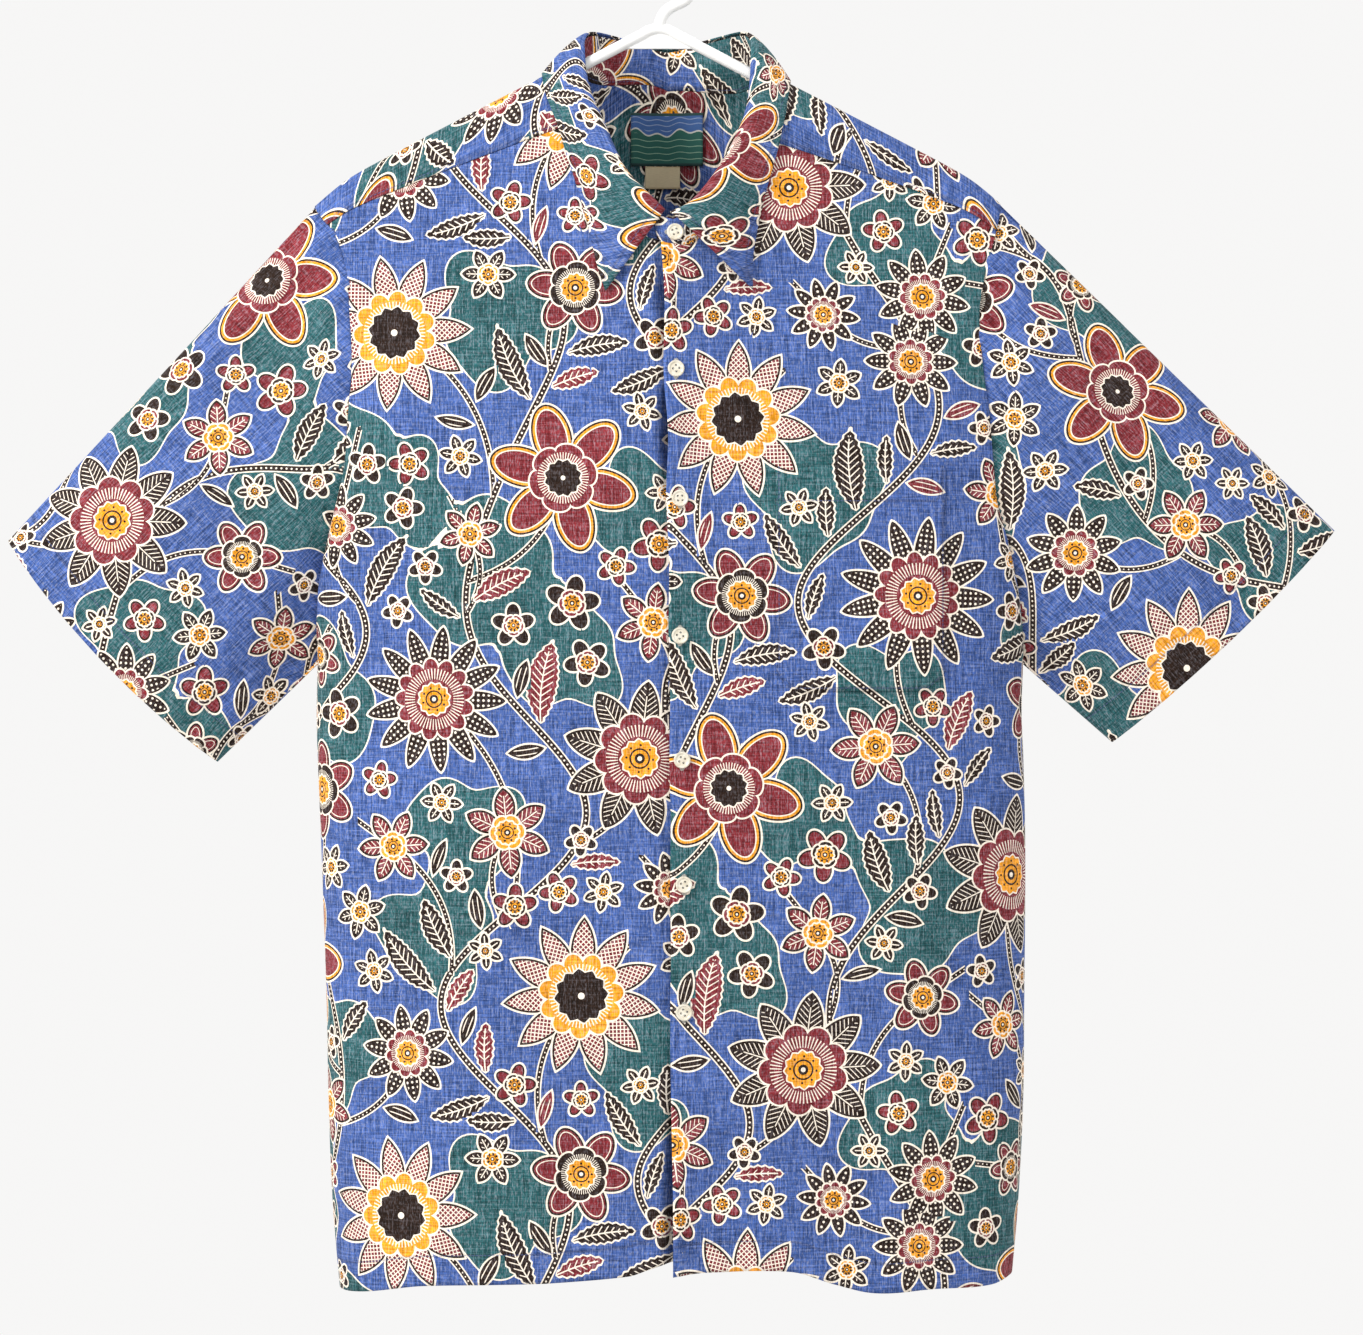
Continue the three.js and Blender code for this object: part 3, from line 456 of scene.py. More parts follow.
bodyFolds = [  # face, x, z, half width, half length, lean, depth
    (-1, -196, -430, 17, 120, 0.14, -4), (-1, -176, -300, 20, 90, -0.2, 2.5),
    (-1, 208, -440, 15, 120, -0.12, -4), (-1, 186, -560, 26, 150, -0.05, 3),
    (-1, -190, -700, 24, 190, 0.03, -3.5), (-1, -120, -800, 34, 150, 0, 2.5),
    (-1, 120, -830, 30, 140, 0.05, -4), (-1, 200, -780, 22, 170, 0.04, -3),
    (1, -150, -500, 26, 260, 0.06, -5), (1, -60, -620, 30, 240, -0.02, 4),
    (1, 40, -560, 26, 280, 0.03, -4.5), (1, 150, -640, 28, 240, -0.04, 4.5),
    (1, 200, -420, 18, 130, -0.12, -4),
    # small creases, in the cloth only
    (-1, -30, -330, 7, 60, -0.1, 1.6), (-1, -12, -270, 5, 40, 0.15, -1.8),
    (-1, 60, -300, 9, 70, 0.3, -1.2), (-1, -205, -520, 8, 60, 0.3, -2.4),
    (-1, 226, -540, 8, 70, -0.25, -2.2), (-1, -170, -230, 9, 45, -0.8, -1.4),
    (-1, 178, -235, 9, 45, 0.8, -1.4), (-1, -90, -640, 12, 110, 0.05, -1.3),
    (-1, 90, -640, 12, 120, -0.06, 1.4), (-1, -150, -870, 12, 60, 0.0, 1.8),
    (-1, -60, -860, 13, 60, 0.0, -1.6), (-1, 70, -880, 11, 50, 0.0, 1.8),
    (-1, 160, -880, 12, 60, 0.0, 2.0), (1, -110, -300, 10, 90, 0.1, -2), (1, 90, -320, 11, 90, -0.1, 2),
    (1, -190, -780, 14, 110, 0.0, 2.4), (1, 0, -840, 16, 90, 0.02, 2.2), (1, 110, -820, 13, 90, 0.0, -2.2)]


def ridge(x):
    run = np.hypot(x, form["ridgeRound"])
    over = run - form["armHalf"] - form["pastArm"]
    past = (np.hypot(over, form["pastSoft"]) + over) / 2
    fall = past * (form["pastSlope"] - form["armSlope"])
    return form["peak"] + form["ridgeRise"] - run * form["armSlope"] - fall


def openDepth(face, x, z):
    drop = np.maximum(0, ridge(x) - z)
    deep = form["roundDepth"]
    wedge = deep * (1 - np.exp(-np.sqrt(form["bend"] * drop) / deep)) + form["wedge"] * drop
    body = girth[face]
    limit = readTable(depthAt, body["depths"], z)
    start = ease(0, 90, drop) if face < 0 else 1 - np.exp(-drop / 12)
    push = body["neckPush"] * bell((x - form["neckX"]) / body["neckWide"]) * start
    push = push * np.exp(-np.maximum(0, drop - body["from"]) / body["over"])
    return wedge / (1 + (wedge / limit) ** 4) ** 0.25 + push


def foldDepth(face, x, z):
    depth = 0 * x
    for side, fx, fz, half, reach, lean, deep in bodyFolds:
        if side == face:
            depth = depth + deep * bell((x - fx - lean * (fz - z)) / half) * bell((z - fz) / reach)
    return depth * ease(20, 90, ridge(x) - z)


def middleX(z):
    return readTable([-200, -315, -450, -660, -930], [1.2, 3.7, 6.4, 7.8, 7.8], z)


def edgeX(face, side, z):
    table = frontEdge if face < 0 else backEdge
    return readTable(table[:, 0], table[:, 1 if side < 0 else 2], z)


def bodyAt(face, x, z, lift=0.0):
    x, z = np.broadcast_arrays(np.asarray(x, float), np.asarray(z, float))
    centre = middleX(z)
    side = np.where(x < centre, edgeX(face, -1, z), edgeX(face, 1, z))
    share = np.minimum(1, np.abs((x - centre) / (side - centre)))
    shape = (1 - share ** form["square"]) ** (1 / form["square"])
    table = frontEdge if face < 0 else backEdge
    kept = np.clip(readTable(table[:, 0], table[:, 3], z), 0, 1)
    depth = openDepth(face, x, z) * (kept + (1 - kept) * shape) + foldDepth(face, x, z) * shape
    return np.stack([x, face * (depth + lift), z], -1)


def bodyTurn(face, turn, z, lift=0.0):  # 0 is the centre, 90 degrees a side
    side = np.where(turn < 0, edgeX(face, -1, z), edgeX(face, 1, z))
    centre = middleX(z)
    x = centre + np.abs(side - centre) * np.sign(turn) * np.abs(np.sin(turn)) ** (2 / form["square"])
    return bodyAt(face, x, z, lift)


def shoulderAt(x, rootDrop, lift=0.0):
    z = ridge(x) - rootDrop**2
    return np.where((rootDrop < 0)[..., None], bodyAt(-1, x, z, lift), bodyAt(1, x, z, lift))


# neck and collar lines, by degrees round the neck from the front
neckTurns = [0, 15, 30, 50, 70, 90, 110, 135, 180]
neckDrops = {
    "left": signedRoot(np.array([-154, -146, -120, -79, -40, 0, 7, 21, 38.0])),
    "right": signedRoot(np.array([-154, -147, -119, -83, -44, 0, 7, 21, 38.0])),
}
foldTurns = [0, 15, 30, 50, 70, 80, 85, 90, 110, 135, 180]
foldHeights = {
    "left": [-189, -174, -158, -124, -98, -82, -70.5, -68, -58, -57, -65],
    "right": [-190, -182, -166, -140, -113, -92, -71.5, -70, -58, -57, -65],
}
leafTable = {
    "leftX": [-35, -41, -47.5, -57, -67, -79, -77, -58, 6],
    "rightX": [63.3, 63.5, 66.5, 74, 83, 89, 88, 70, 6],
    "leftDrop": signedRoot(np.array([-177, -155, -125, -87, -50, -9, 10, 28, 55.0])),
    "rightDrop": signedRoot(np.array([-162, -140, -119, -82, -44, -9, 10, 25, 55.0])),
}


def bySide(station, turns, left, right):
    around = np.mod(station + 720, 360)
    onLeft = around <= 180
    turn = np.where(onLeft, around, 360 - around)
    return np.where(onLeft, readTable(turns, left, turn), readTable(turns, right, turn))


def neckPlace(station):
    x = form["neckX"] - form["neckHalf"] * np.sin(np.radians(station))
    return x, bySide(station, neckTurns, neckDrops["left"], neckDrops["right"])


def foldPlace(station):
    s = np.radians(station)
    z = bySide(station, foldTurns, foldHeights["left"], foldHeights["right"])
    return np.stack([form["neckX"] - form["foldHalf"] * np.sin(s), -form["foldDepth"] * np.cos(s), z], -1)


def foldFrame(station):
    s = np.radians(station)
    outward = np.stack([-np.sin(s), -np.cos(s), 0 * s], -1)
    run = unit(foldPlace(station + 0.5) - foldPlace(station - 0.5))
    up = unit(np.cross(run, outward))
    up = np.where(up[..., 2:] < 0, -up, up)
    out = unit(np.cross(up, run))
    out = np.where((out * outward).sum(-1, keepdims=True) < 0, -out, out)
    return foldPlace(station), up, out


def armholeX(face, side, rootDrop):
    x = edgeX(face, side, np.full_like(rootDrop, -180.0))
    for i in range(12):
        x = edgeX(face, side, ridge(x) - rootDrop**2)
    return x


def frontCorner(side):  # where the yoke's front seam meets the neck seam
    return neckPlace(np.array(68.0 if side < 0 else 292.0))


def seamRoot(side, x):  # the yoke's front seam
    neckX, neckRoot = frontCorner(side)
    endRoot = -math.sqrt(form["yokeEnd"])
    endX = armholeX(-1, side, np.array(endRoot))
    return neckRoot + (endRoot - neckRoot) * (x - neckX) / (endX - neckX)


# the print's layout: one repeat, in millimetres
repeat = {"wide": 450.0, "tall": 600.0}
bigFlowers = [  # x, y, reach, kind, turn
    (70, 520, 54, "rosette", 0.1), (300, 540, 50, "mallow", 0.5), (190, 400, 54, "fan", 0.2),
    (395, 370, 54, "rosette", 0.9), (60, 270, 52, "mallow", 1.3), (260, 210, 55, "lace", 0.4),
    (420, 120, 50, "fan", 0.7), (110, 80, 53, "lace", 1.1), (190, 560, 32, "aster", 0.3),
    (400, 480, 33, "aster", 0.8), (290, 328, 34, "bell", 0.2), (160, 298, 31, "star", 0.6),
    (330, 58, 34, "bell", 1.0), (200, 5, 33, "aster", 0.1), (70, 400, 34, "bell", 0.4),
    (330, 442, 27, "star", 0.2), (352, 238, 29, "aster", 0.5), (120, 172, 27, "star", 0.9),
    (192, 128, 27, "bell", 0.3), (20, 30, 31, "star", 0.1), (252, 108, 24, "star", 0.7),
    (250, 470, 26, "star", 0.4), (131, 592, 25, "aster", 0.2), (390, 20, 26, "star", 0.6),
    (262, 610, 20, "bell", 0.6), (446, 232, 22, "star", 0.8), (330, 150, 22, "bell", 0.1)]
flowerKinds = {  # petals, petal half width, pointed, pattern, ring, core, petal, ring and core inks
    "rosette": (11, 0.165, 1.0, 1, 0.5, 0.3, "maroon", "orange", "brown"),
    "lace": (9, 0.2, 0.75, 0, 0.54, 0.22, "brown", "maroon", "orange"),
    "fan": (13, 0.135, 0.55, 2, 0.52, 0.2, "brown", "maroon", "orange"),
    "mallow": (6, 0.27, 0.1, 5, 0.42, 0.22, "orange", "maroon", "brown"),
    "aster": (10, 0.18, 0.6, 2, 0.46, 0.24, "brown", "maroon", "orange"),
    "bell": (6, 0.29, 0.2, 3, 0.5, 0.27, "maroon", "brown", "orange"),
    "star": (6, 0.25, 1.0, 0, 0.36, 0.24, "maroon", "orange", "orange"),
    "starDark": (6, 0.25, 1.0, 0, 0.36, 0.24, "brown", "orange", "orange"),
    "blossom": (5, 0.32, 0.0, 4, 0.45, 0.3, "maroon", "brown", "orange"),
    "blossomDark": (5, 0.32, 0.0, 4, 0.45, 0.3, "brown", "maroon", "orange"),
}
tealPatches = [
    (120, 470, 46), (250, 590, 52), (340, 480, 40), (20, 380, 44), (300, 380, 42), (170, 330, 38),
    (10, 200, 50), (340, 290, 44), (190, 190, 46), (330, 120, 46), (180, 40, 40), (60, 150, 38),
    (420, 560, 40), (440, 30, 38), (110, 250, 34), (400, 260, 34)]
stems = [  # wavy runs up the cloth: x, sideways swing, waves in a repeat, start
    (25, 40, 2, 0.4), (165, 46, 2, 2.6), (318, 42, 2, 4.4)]


layout = {
    "runStep": 2.0, "runHalf": 1.9, "stalkHalf": 1.4, "leafEvery": 13.0, "leafStart": 9.0, "leafOff": 5,
    "leafTries": ((58, 0.9), (46, 1.1), (36, 0.8), (27, 1.0)), "blossoms": 60, "leastRoom": 8.5,
}


def wrapped(delta):
    delta[..., 0] -= repeat["wide"] * np.round(delta[..., 0] / repeat["wide"])
    delta[..., 1] -= repeat["tall"] * np.round(delta[..., 1] / repeat["tall"])
    return delta


def farFrom(points, centre):
    return np.hypot(*wrapped(points - centre).T)


def runLength(points):
    return np.concatenate([[0], np.cumsum(np.hypot(*np.diff(points, axis=0).T))])


def growRuns(flowers):  # the main stems, then a curved stalk from the nearest stem to each flower
    runs = []
    for x, swing, waves, start in stems:
        y = np.arange(0, repeat["tall"] + 1, layout["runStep"])
        a = 2 * math.pi * y / repeat["tall"]
        across = x + swing * np.sin(waves * a + start) + 12 * np.sin(3 * a + 2 * start)
        runs.append((np.stack([across, y], -1), layout["runHalf"]))
    trunk = np.concatenate([points for points, thick in runs])
    for flower in flowers:
        at = np.array(flower["at"], float)
        near = int(np.argmin(farFrom(trunk, at - (0, flower["reach"] * 0.9 + 34))))
        begin = wrapped((trunk[near] - at)[None])[0] + at
        bow = np.array([-(at - begin)[1], (at - begin)[0]]) * (0.3 if flower["turn"] < 0.55 else -0.3)
        t = np.linspace(0, 1, 48)[:, None]
        bend = (begin + at) / 2 + bow
        runs.append(((1 - t) ** 2 * begin + 2 * t * (1 - t) * bend + t * t * at, layout["stalkHalf"]))
    return runs


def growLeaves(runs, taken):  # leaves on both sides of each run, as long as the room allows
    leaves = []
    for turn, (points, thick) in enumerate(runs):
        run = runLength(points)
        for i, at in enumerate(np.arange(layout["leafStart"], run[-1], layout["leafEvery"])):
            j = int(np.searchsorted(run, at))
            if j >= len(points) - 1:
                continue
            way = unit(points[j + 1] - points[j])
            sign = 1 if (i + turn) % 2 else -1
            for long, lean in layout["leafTries"]:
                angle = math.atan2(way[1], way[0]) + sign * lean
                axis = np.array([math.cos(angle), math.sin(angle)])
                base = points[j] + axis * layout["leafOff"]
                wide = long * (0.19 if (i + turn) % 3 else 0.16)
                samples = base + np.linspace(0.12, 1.04, 6)[:, None] * long * axis
                spare = wide * 0.7 + 1.5
                if all((farFrom(samples, centre) >= reach + spare).all() for centre, reach in taken):
                    style = 1 if long < 30 else 0
                    tint = "maroon" if (i * 7 + turn * 5) % 4 == 0 else "brown"
                    leaves.append(dict(at=base, turn=angle, long=long, wide=wide, style=style, tint=tint))
                    taken += [(s, wide * 0.75) for s in samples[:5]]
                    break
    return leaves


def addBlossoms(flowers, taken):  # small blossoms in what room is left
    gx, gy = np.meshgrid(np.arange(0, repeat["wide"], 5), np.arange(0, repeat["tall"], 5))
    spots = np.stack([gx.ravel(), gy.ravel()], -1).astype(float)
    room = np.full(len(spots), 1e9)
    for centre, reach in taken:
        room = np.minimum(room, farFrom(spots, centre) - reach)
    for i in range(layout["blossoms"]):
        best = int(np.argmax(room))
        if room[best] < layout["leastRoom"]:
            break
        reach = min(room[best] - 1.0, 19.0 if i % 3 else 15.0)
        kind = ("blossom", "starDark", "blossomDark", "starDark")[i % 4] if reach > 12 else "blossomDark"
        flowers.append(dict(at=tuple(spots[best]), reach=reach, kind=kind, turn=0.37 * i))
        room = np.minimum(room, farFrom(spots, spots[best]) - reach)


flowers = [dict(at=(x, y), reach=r, kind=kind, turn=turn) for x, y, r, kind, turn in bigFlowers]
runs = growRuns(flowers)
taken = [(np.array(f["at"], float), f["reach"] + 2.5) for f in flowers]
leaves = growLeaves(runs, taken)
addBlossoms(flowers, taken)
print("print laid out:", len(flowers), "flowers,", len(leaves), "leaves,", len(runs), "runs")

flowerAt = np.array([f["at"] for f in flowers], float)
flowerReach = np.array([f["reach"] for f in flowers], float)
flowerTurn = np.array([f["turn"] for f in flowers])
kinds = [flowerKinds[f["kind"]] for f in flowers]
leafAt = np.array([f["at"] for f in leaves], float)
leafSize = np.array([(f["long"], f["wide"]) for f in leaves], float)
leafTurn = np.array([f["turn"] for f in leaves])
runPoints = np.concatenate([p for p, thick in runs])
runWay = np.concatenate([unit(np.gradient(p, axis=0)) for p, thick in runs])
runFrom = np.concatenate([runLength(p) for p, thick in runs])
runThick = np.concatenate([np.full(len(p), thick) for p, thick in runs])


def nearest(places, measure, count):
    best, pick = np.full(len(places), 1e9), np.zeros(len(places), int)
    for i in range(count):
        far = measure(i)
        closer = far < best
        best[closer], pick[closer] = far[closer], i
    return pick


def threeOf(*values):  # three numbers for each corner of each face
    *spread, corner = np.broadcast_arrays(*values, np.ones((1, 4)))
    return np.stack(spread, -1)


def localTo(centres, corners, origin, turn):  # each face's corners, seen from its own motif
    delta = wrapped(centres - origin)[:, None] + corners - centres[:, None]
    c, s = np.cos(turn)[:, None], np.sin(turn)[:, None]
    return delta[..., 0] * c + delta[..., 1] * s, delta[..., 1] * c - delta[..., 0] * s


def tints(names, pick):
    return np.array([ink[name] for name in names])[pick][:, None] * np.ones((4, 1))


def flowerLayers(centres, corners):
    pick = nearest(centres, lambda i: farFrom(centres, flowerAt[i]) - flowerReach[i], len(flowers))
    x, y = localTo(centres, corners, flowerAt[pick], flowerTurn[pick])
    reach = flowerReach[pick][:, None]
    petals, petalWide, pointed, pattern, ring, core = np.array([k[:6] for k in kinds])[pick].T[..., None]
    return {
        "flowerAt": threeOf(x, y, reach), "flowerForm": threeOf(petals, petalWide * reach, pointed),
        "flowerHeart": threeOf(pattern, ring * reach, core * reach),
        "flowerTint": tints([k[6] for k in kinds], pick), "ringTint": tints([k[7] for k in kinds], pick),
        "coreTint": tints([k[8] for k in kinds], pick),
    }


def leafLayers(centres, corners):
    def leafGap(i):
        delta = wrapped(centres - leafAt[i])
        c, s = math.cos(leafTurn[i]), math.sin(leafTurn[i])
        u, v = delta[:, 0] * c + delta[:, 1] * s, delta[:, 1] * c - delta[:, 0] * s
        long, wide = leafSize[i]
        return np.hypot(u - np.clip(u, 0, long), v) - wide * np.sin(math.pi * np.clip(u / long, 0, 1))

    pick = nearest(centres, leafGap, len(leaves))
    u, v = localTo(centres, corners, leafAt[pick], leafTurn[pick])
    long, wide = leafSize[pick].T[..., None]
    v = v + 0.004 * (u - long / 2) ** 2 - 0.001 * long**2
    style = np.array([f["style"] for f in leaves], float)[pick][:, None]
    return {
        "leafAt": threeOf(u, v, long), "leafForm": threeOf(wide, (1 - style) * 2.4, style),
        "leafTint": tints([f["tint"] for f in leaves], pick),
    }


def vineLayer(centres, corners):  # each corner is measured from the run point nearest to its face
    pick = np.zeros(len(centres), int)
    block = 4000
    for start in range(0, len(centres), block):
        gap = wrapped(centres[start:start + block, None] - runPoints[None])
        pick[start:start + block] = np.argmin((gap**2).sum(-1), axis=1)
    way = runWay[pick]
    delta = wrapped(centres - runPoints[pick])[:, None] + corners - centres[:, None]
    ahead = (delta * way[:, None]).sum(-1)
    aside = delta[..., 1] * way[:, 0:1] - delta[..., 0] * way[:, 1:2]
    return threeOf(runFrom[pick][:, None] + ahead, aside, runThick[pick][:, None])


def groundLayer(corners):  # distance outside the nearest teal patch
    flat = corners.reshape(-1, 2)
    field = np.full(len(flat), 1e9)
    for px, py, pr in tealPatches:
        delta = wrapped(flat - (px, py))
        angle = np.arctan2(delta[:, 1], delta[:, 0])
        lobes = 1 + 0.16 * np.sin(3 * angle + px) + 0.09 * np.sin(5 * angle + py)
        gap = np.hypot(delta[:, 0], delta[:, 1]) - pr * lobes
        low = np.minimum(field, gap)
        field = low - 6 * np.exp(-np.abs(np.minimum(field, 1e3) - gap) / 6)
    return threeOf(field.reshape(-1, 4), 0.0, 0.0)


# cloth pieces
def gridQuads(rows, columns):
    index = np.arange(rows * columns).reshape(rows, columns)
    return np.stack([index[:-1, :-1], index[:-1, 1:], index[1:, 1:], index[1:, :-1]], -1).reshape(-1, 4)


def sheetPiece(name, points, quads, cut, thick, offset, material, replaced):
    mesh = bpy.data.meshes.new(name)
    mesh.from_pydata((points.reshape(-1, 3) * mm).tolist(), [], quads.tolist())
    mesh.polygons.foreach_set("use_smooth", np.ones(len(quads), bool))
    mesh.uv_layers.new(name="cut").data.foreach_set("uv", (cut[quads] * mm).astype(np.float32).ravel())
    mesh.materials.append(material)
    piece = placeObject(name, mesh)
    shell = piece.modifiers.new("thickness", "SOLIDIFY")
    shell.thickness = thick * mm
    shell.offset = offset
    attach(piece, "root")
    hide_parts(replaced)
    return piece


def clothPiece(name, replaced, points, cut, sewn, thick, inside):  # its faces turn away from the point inside
    quads = gridQuads(*points.shape[:2])
    place = points.reshape(-1, 3)
    a, b, c = place[quads[:, 0]], place[quads[:, 1]], place[quads[:, 3]]
    facing = (np.cross(b - a, c - a) * (a - np.asarray(inside)) * (1, 1, 0.3)).sum()
    if facing < 0:
        quads = quads[:, ::-1]
    cut = cut.reshape(-1, 2)
    piece = sheetPiece(name, points, quads, cut, thick, -1, printed, replaced)
    corners = cut[quads]
    centres = corners.mean(1)
    seam = sewn.reshape(-1, 2)[quads]
    layers = {**flowerLayers(centres, corners), **leafLayers(centres, corners)}
    layers["vine"] = vineLayer(centres, corners)
    layers["ground"] = groundLayer(corners)
    layers["cutAt"] = threeOf(corners[..., 0], corners[..., 1], 0.0)
    layers["sewn"] = threeOf(seam[..., 0], seam[..., 1], 0.0)
    for key, values in layers.items():
        kind, slot = ("FLOAT_COLOR", "color") if values.shape[-1] == 4 else ("FLOAT_VECTOR", "vector")
        made = piece.data.attributes.new(key, kind, "CORNER")
        made.data.foreach_set(slot, values.astype(np.float32).ravel())
    return piece


def lengthsAlong(points, axis):
    gaps = np.linalg.norm(np.diff(points, axis=axis), axis=-1)
    pad = [(0, 0), (0, 0)]
    pad[axis] = (1, 0)
    return np.pad(np.cumsum(gaps, axis=axis), pad)


def nearestRow(*rows):  # each row is a distance from its stitch line and a place along it
    best, along = rows[0]
    for distance, place in rows[1:]:
        closer = np.abs(distance) < np.abs(best)
        best, along = np.where(closer, distance, best), np.where(closer, place, along)
    return np.stack([best, along], -1)


def evenTurns(face, first, last):
    turns = np.linspace(first, last, 3000)
    points = bodyTurn(face, turns, np.full(3000, -600.0))
    run = np.concatenate([[0], np.cumsum(np.linalg.norm(np.diff(points, axis=0), axis=-1))])
    return np.interp(np.linspace(0, run[-1], int(run[-1] / weave["pitch"]) + 1), run, turns)


def columnX(face, turn, z):
    return bodyTurn(face, turn, z)[..., 0]


def turnOf(share):
    return np.sign(share) * np.arcsin(np.abs(share) ** (form["square"] / 2))


weave = {"pitch": 3.4, "thick": 0.7, "hemDepth": 20, "lift": -0.35, "hemAt": -915.0, "inside": (6, 0, -500)}
print("pieces begin")

# fronts: the wearer's left one laps over the right one
buttonHeights = [-200, -296, -384, -477, -561, -645, -731]
opening = {
    "rows": 230, "gapes": [1.2, 1.6, 1.8, 2.4, 5.2, 4.2],  # from the lowest space between two buttons up
    "gapeWide": 12, "hemGape": 5, "outward": 0.42, "step": 2.4, "hollows": ((9, -342), (4, -250)),
    "hollowTall": 30, "hemHollow": 8,
}
fronts = [
    {"name": "frontRight", "node": "front_right", "side": -1, "inner": 0.11, "shift": (130, 40),
     "flat": (0.285, 0.82), "hemX": [-236, -213, -158, -75, -20, -6, 8, 40],
     "hemZ": [-921, -924.5, -917, -913.6, -908.6, -904, -900, -899]},
    {"name": "frontLeft", "node": "front_left", "side": 1, "inner": 0.0, "shift": (20, 250),
     "flat": (0.265, 0.82), "hemX": [0, 35, 90, 118, 145, 187, 228, 243],
     "hemZ": [-909.6, -905.9, -906, -914.7, -921, -919.6, -919, -914]},
]


def frontTop(side, x):
    inNeck = (x - frontCorner(side)[0]) * side < 0
    turn = np.degrees(np.arcsin(np.clip(np.abs(x - form["neckX"]) / form["neckHalf"], 0, 1)))
    drops = np.where(x < form["neckX"], readTable(neckTurns, neckDrops["left"], turn),
                     readTable(neckTurns, neckDrops["right"], turn))
    return ridge(x) - np.where(inNeck, drops, seamRoot(side, x)) ** 2


def gape(x, z):  # the upper front stands off a little between two buttons, and at the hem
    stops = buttonHeights[::-1]
    phase = np.interp(z, stops, np.arange(len(stops)))
    deep = np.array(opening["gapes"])[np.clip(phase.astype(int), 0, len(opening["gapes"]) - 1)]
    swell = deep * np.sin(math.pi * phase) ** 2 * (z > stops[0]) * (z < stops[-1])
    return (swell + opening["hemGape"] * ease(745, 880, -z)) * bell((x - middleX(z)) / opening["gapeWide"])


def hollow(z):  # the lower front falls back behind the upper one's edge
    total = sum(deep * bell((z - at) / opening["hollowTall"]) for deep, at in opening["hollows"])
    return total + opening["hemHollow"] * ease(745, 860, -z)


# cloth length from the middle of the front, for even heights and turns
aroundGrid = {"low": -945, "high": -90, "pitch": 5, "turns": 240}
heights = np.arange(aroundGrid["low"], aroundGrid["high"] + 1, aroundGrid["pitch"], float)[:, None]
turns = np.linspace(-math.pi / 2, math.pi / 2, aroundGrid["turns"] + 1)[None, :]
frontAround = lengthsAlong(bodyTurn(-1, turns + 0 * heights, heights + 0 * turns), 1)
frontAround -= frontAround[:, aroundGrid["turns"] // 2][:, None].copy()


def aroundFront(turn, z):
    i = np.clip((z - aroundGrid["low"]) / aroundGrid["pitch"], 0, len(heights) - 1.001)
    j = np.clip((turn / math.pi + 0.5) * aroundGrid["turns"], 0, aroundGrid["turns"] - 0.001)
    low, left = i.astype(int), j.astype(int)
    a, b = i - low, j - left
    return ((1 - a) * ((1 - b) * frontAround[low, left] + b * frontAround[low, left + 1])
            + a * ((1 - b) * frontAround[low + 1, left] + b * frontAround[low + 1, left + 1]))


for spec in fronts:
    side = spec["side"]
    turns = evenTurns(-1, side * math.pi / 2, float(turnOf(np.array(-side * spec["inner"]))))
    neckX, neckRoot = frontCorner(side)
    cornerZ = ridge(neckX) - neckRoot**2
    halfWide = abs(edgeX(-1, side, cornerZ) - middleX(cornerZ))
    corner = float(turnOf((neckX - middleX(cornerZ)) / halfWide))
    turns[np.argmin(np.abs(turns - corner))] = corner
    tops = np.full(len(turns), -180.0)
    for i in range(30):
        tops = frontTop(side, columnX(-1, turns, tops))
    hems = readTable(spec["hemX"], spec["hemZ"], columnX(-1, turns, np.full(len(turns), weave["hemAt"])))
    z = tops + (hems - tops) * np.linspace(0, 1, opening["rows"])[:, None]
    turnGrid = np.broadcast_to(turns, z.shape)
    points = bodyTurn(-1, turnGrid, z, weave["lift"])
    if side < 0:
        edge = middleX(z)
        points[..., 1] += opening["step"] * ease(edge - 7, edge - 1, points[..., 0])
        points[..., 1] += hollow(z) * ease(edge - 3, edge + 2, points[..., 0])
    else:
        lift = gape(points[..., 0], z)
        points[..., 1] -= lift
        points[..., 0] += opening["outward"] * lift
    run = aroundFront(turnGrid, z)
    points[..., 1] += 0.5 * np.sin(points[..., 0] / 9.0) * bell((z - hems) / 14)
    cut = np.stack([run + spec["shift"][0], z + spec["shift"][1]], -1)
    sewn = nearestRow((z - hems - weave["hemDepth"], run))
    piece = clothPiece(spec["name"], spec["node"], points, cut, sewn, weave["thick"], weave["inside"])

# back, below the yoke
backCloth = {
    "rows": 210, "top": -203.5, "across": 300, "flat": (0.53, 0.74), "hemX": [-222, -150, 0, 120, 243],
    "hemZ": [-922.5, -917, -914, -916, -914],
}
turns = evenTurns(1, -math.pi / 2, math.pi / 2)
hemAcross = columnX(1, turns, np.full(len(turns), weave["hemAt"]))
hems = readTable(backCloth["hemX"], backCloth["hemZ"], hemAcross)
z = backCloth["top"] + (hems - backCloth["top"]) * np.linspace(0, 1, backCloth["rows"])[:, None]
points = bodyTurn(1, np.broadcast_to(turns, z.shape), z, weave["lift"])
points[..., 1] += 0.5 * np.sin(points[..., 0] / 10.0) * bell((z - hems) / 14)
run = lengthsAlong(points, 1)
run = run - run[:, len(turns) // 2][:, None]
sewn = nearestRow((z - hems - weave["hemDepth"], run))
cut = np.stack([backCloth["across"] - run, z], -1)
back = clothPiece("backPanel", "back_panel", points, cut, sewn, weave["thick"], weave["inside"])

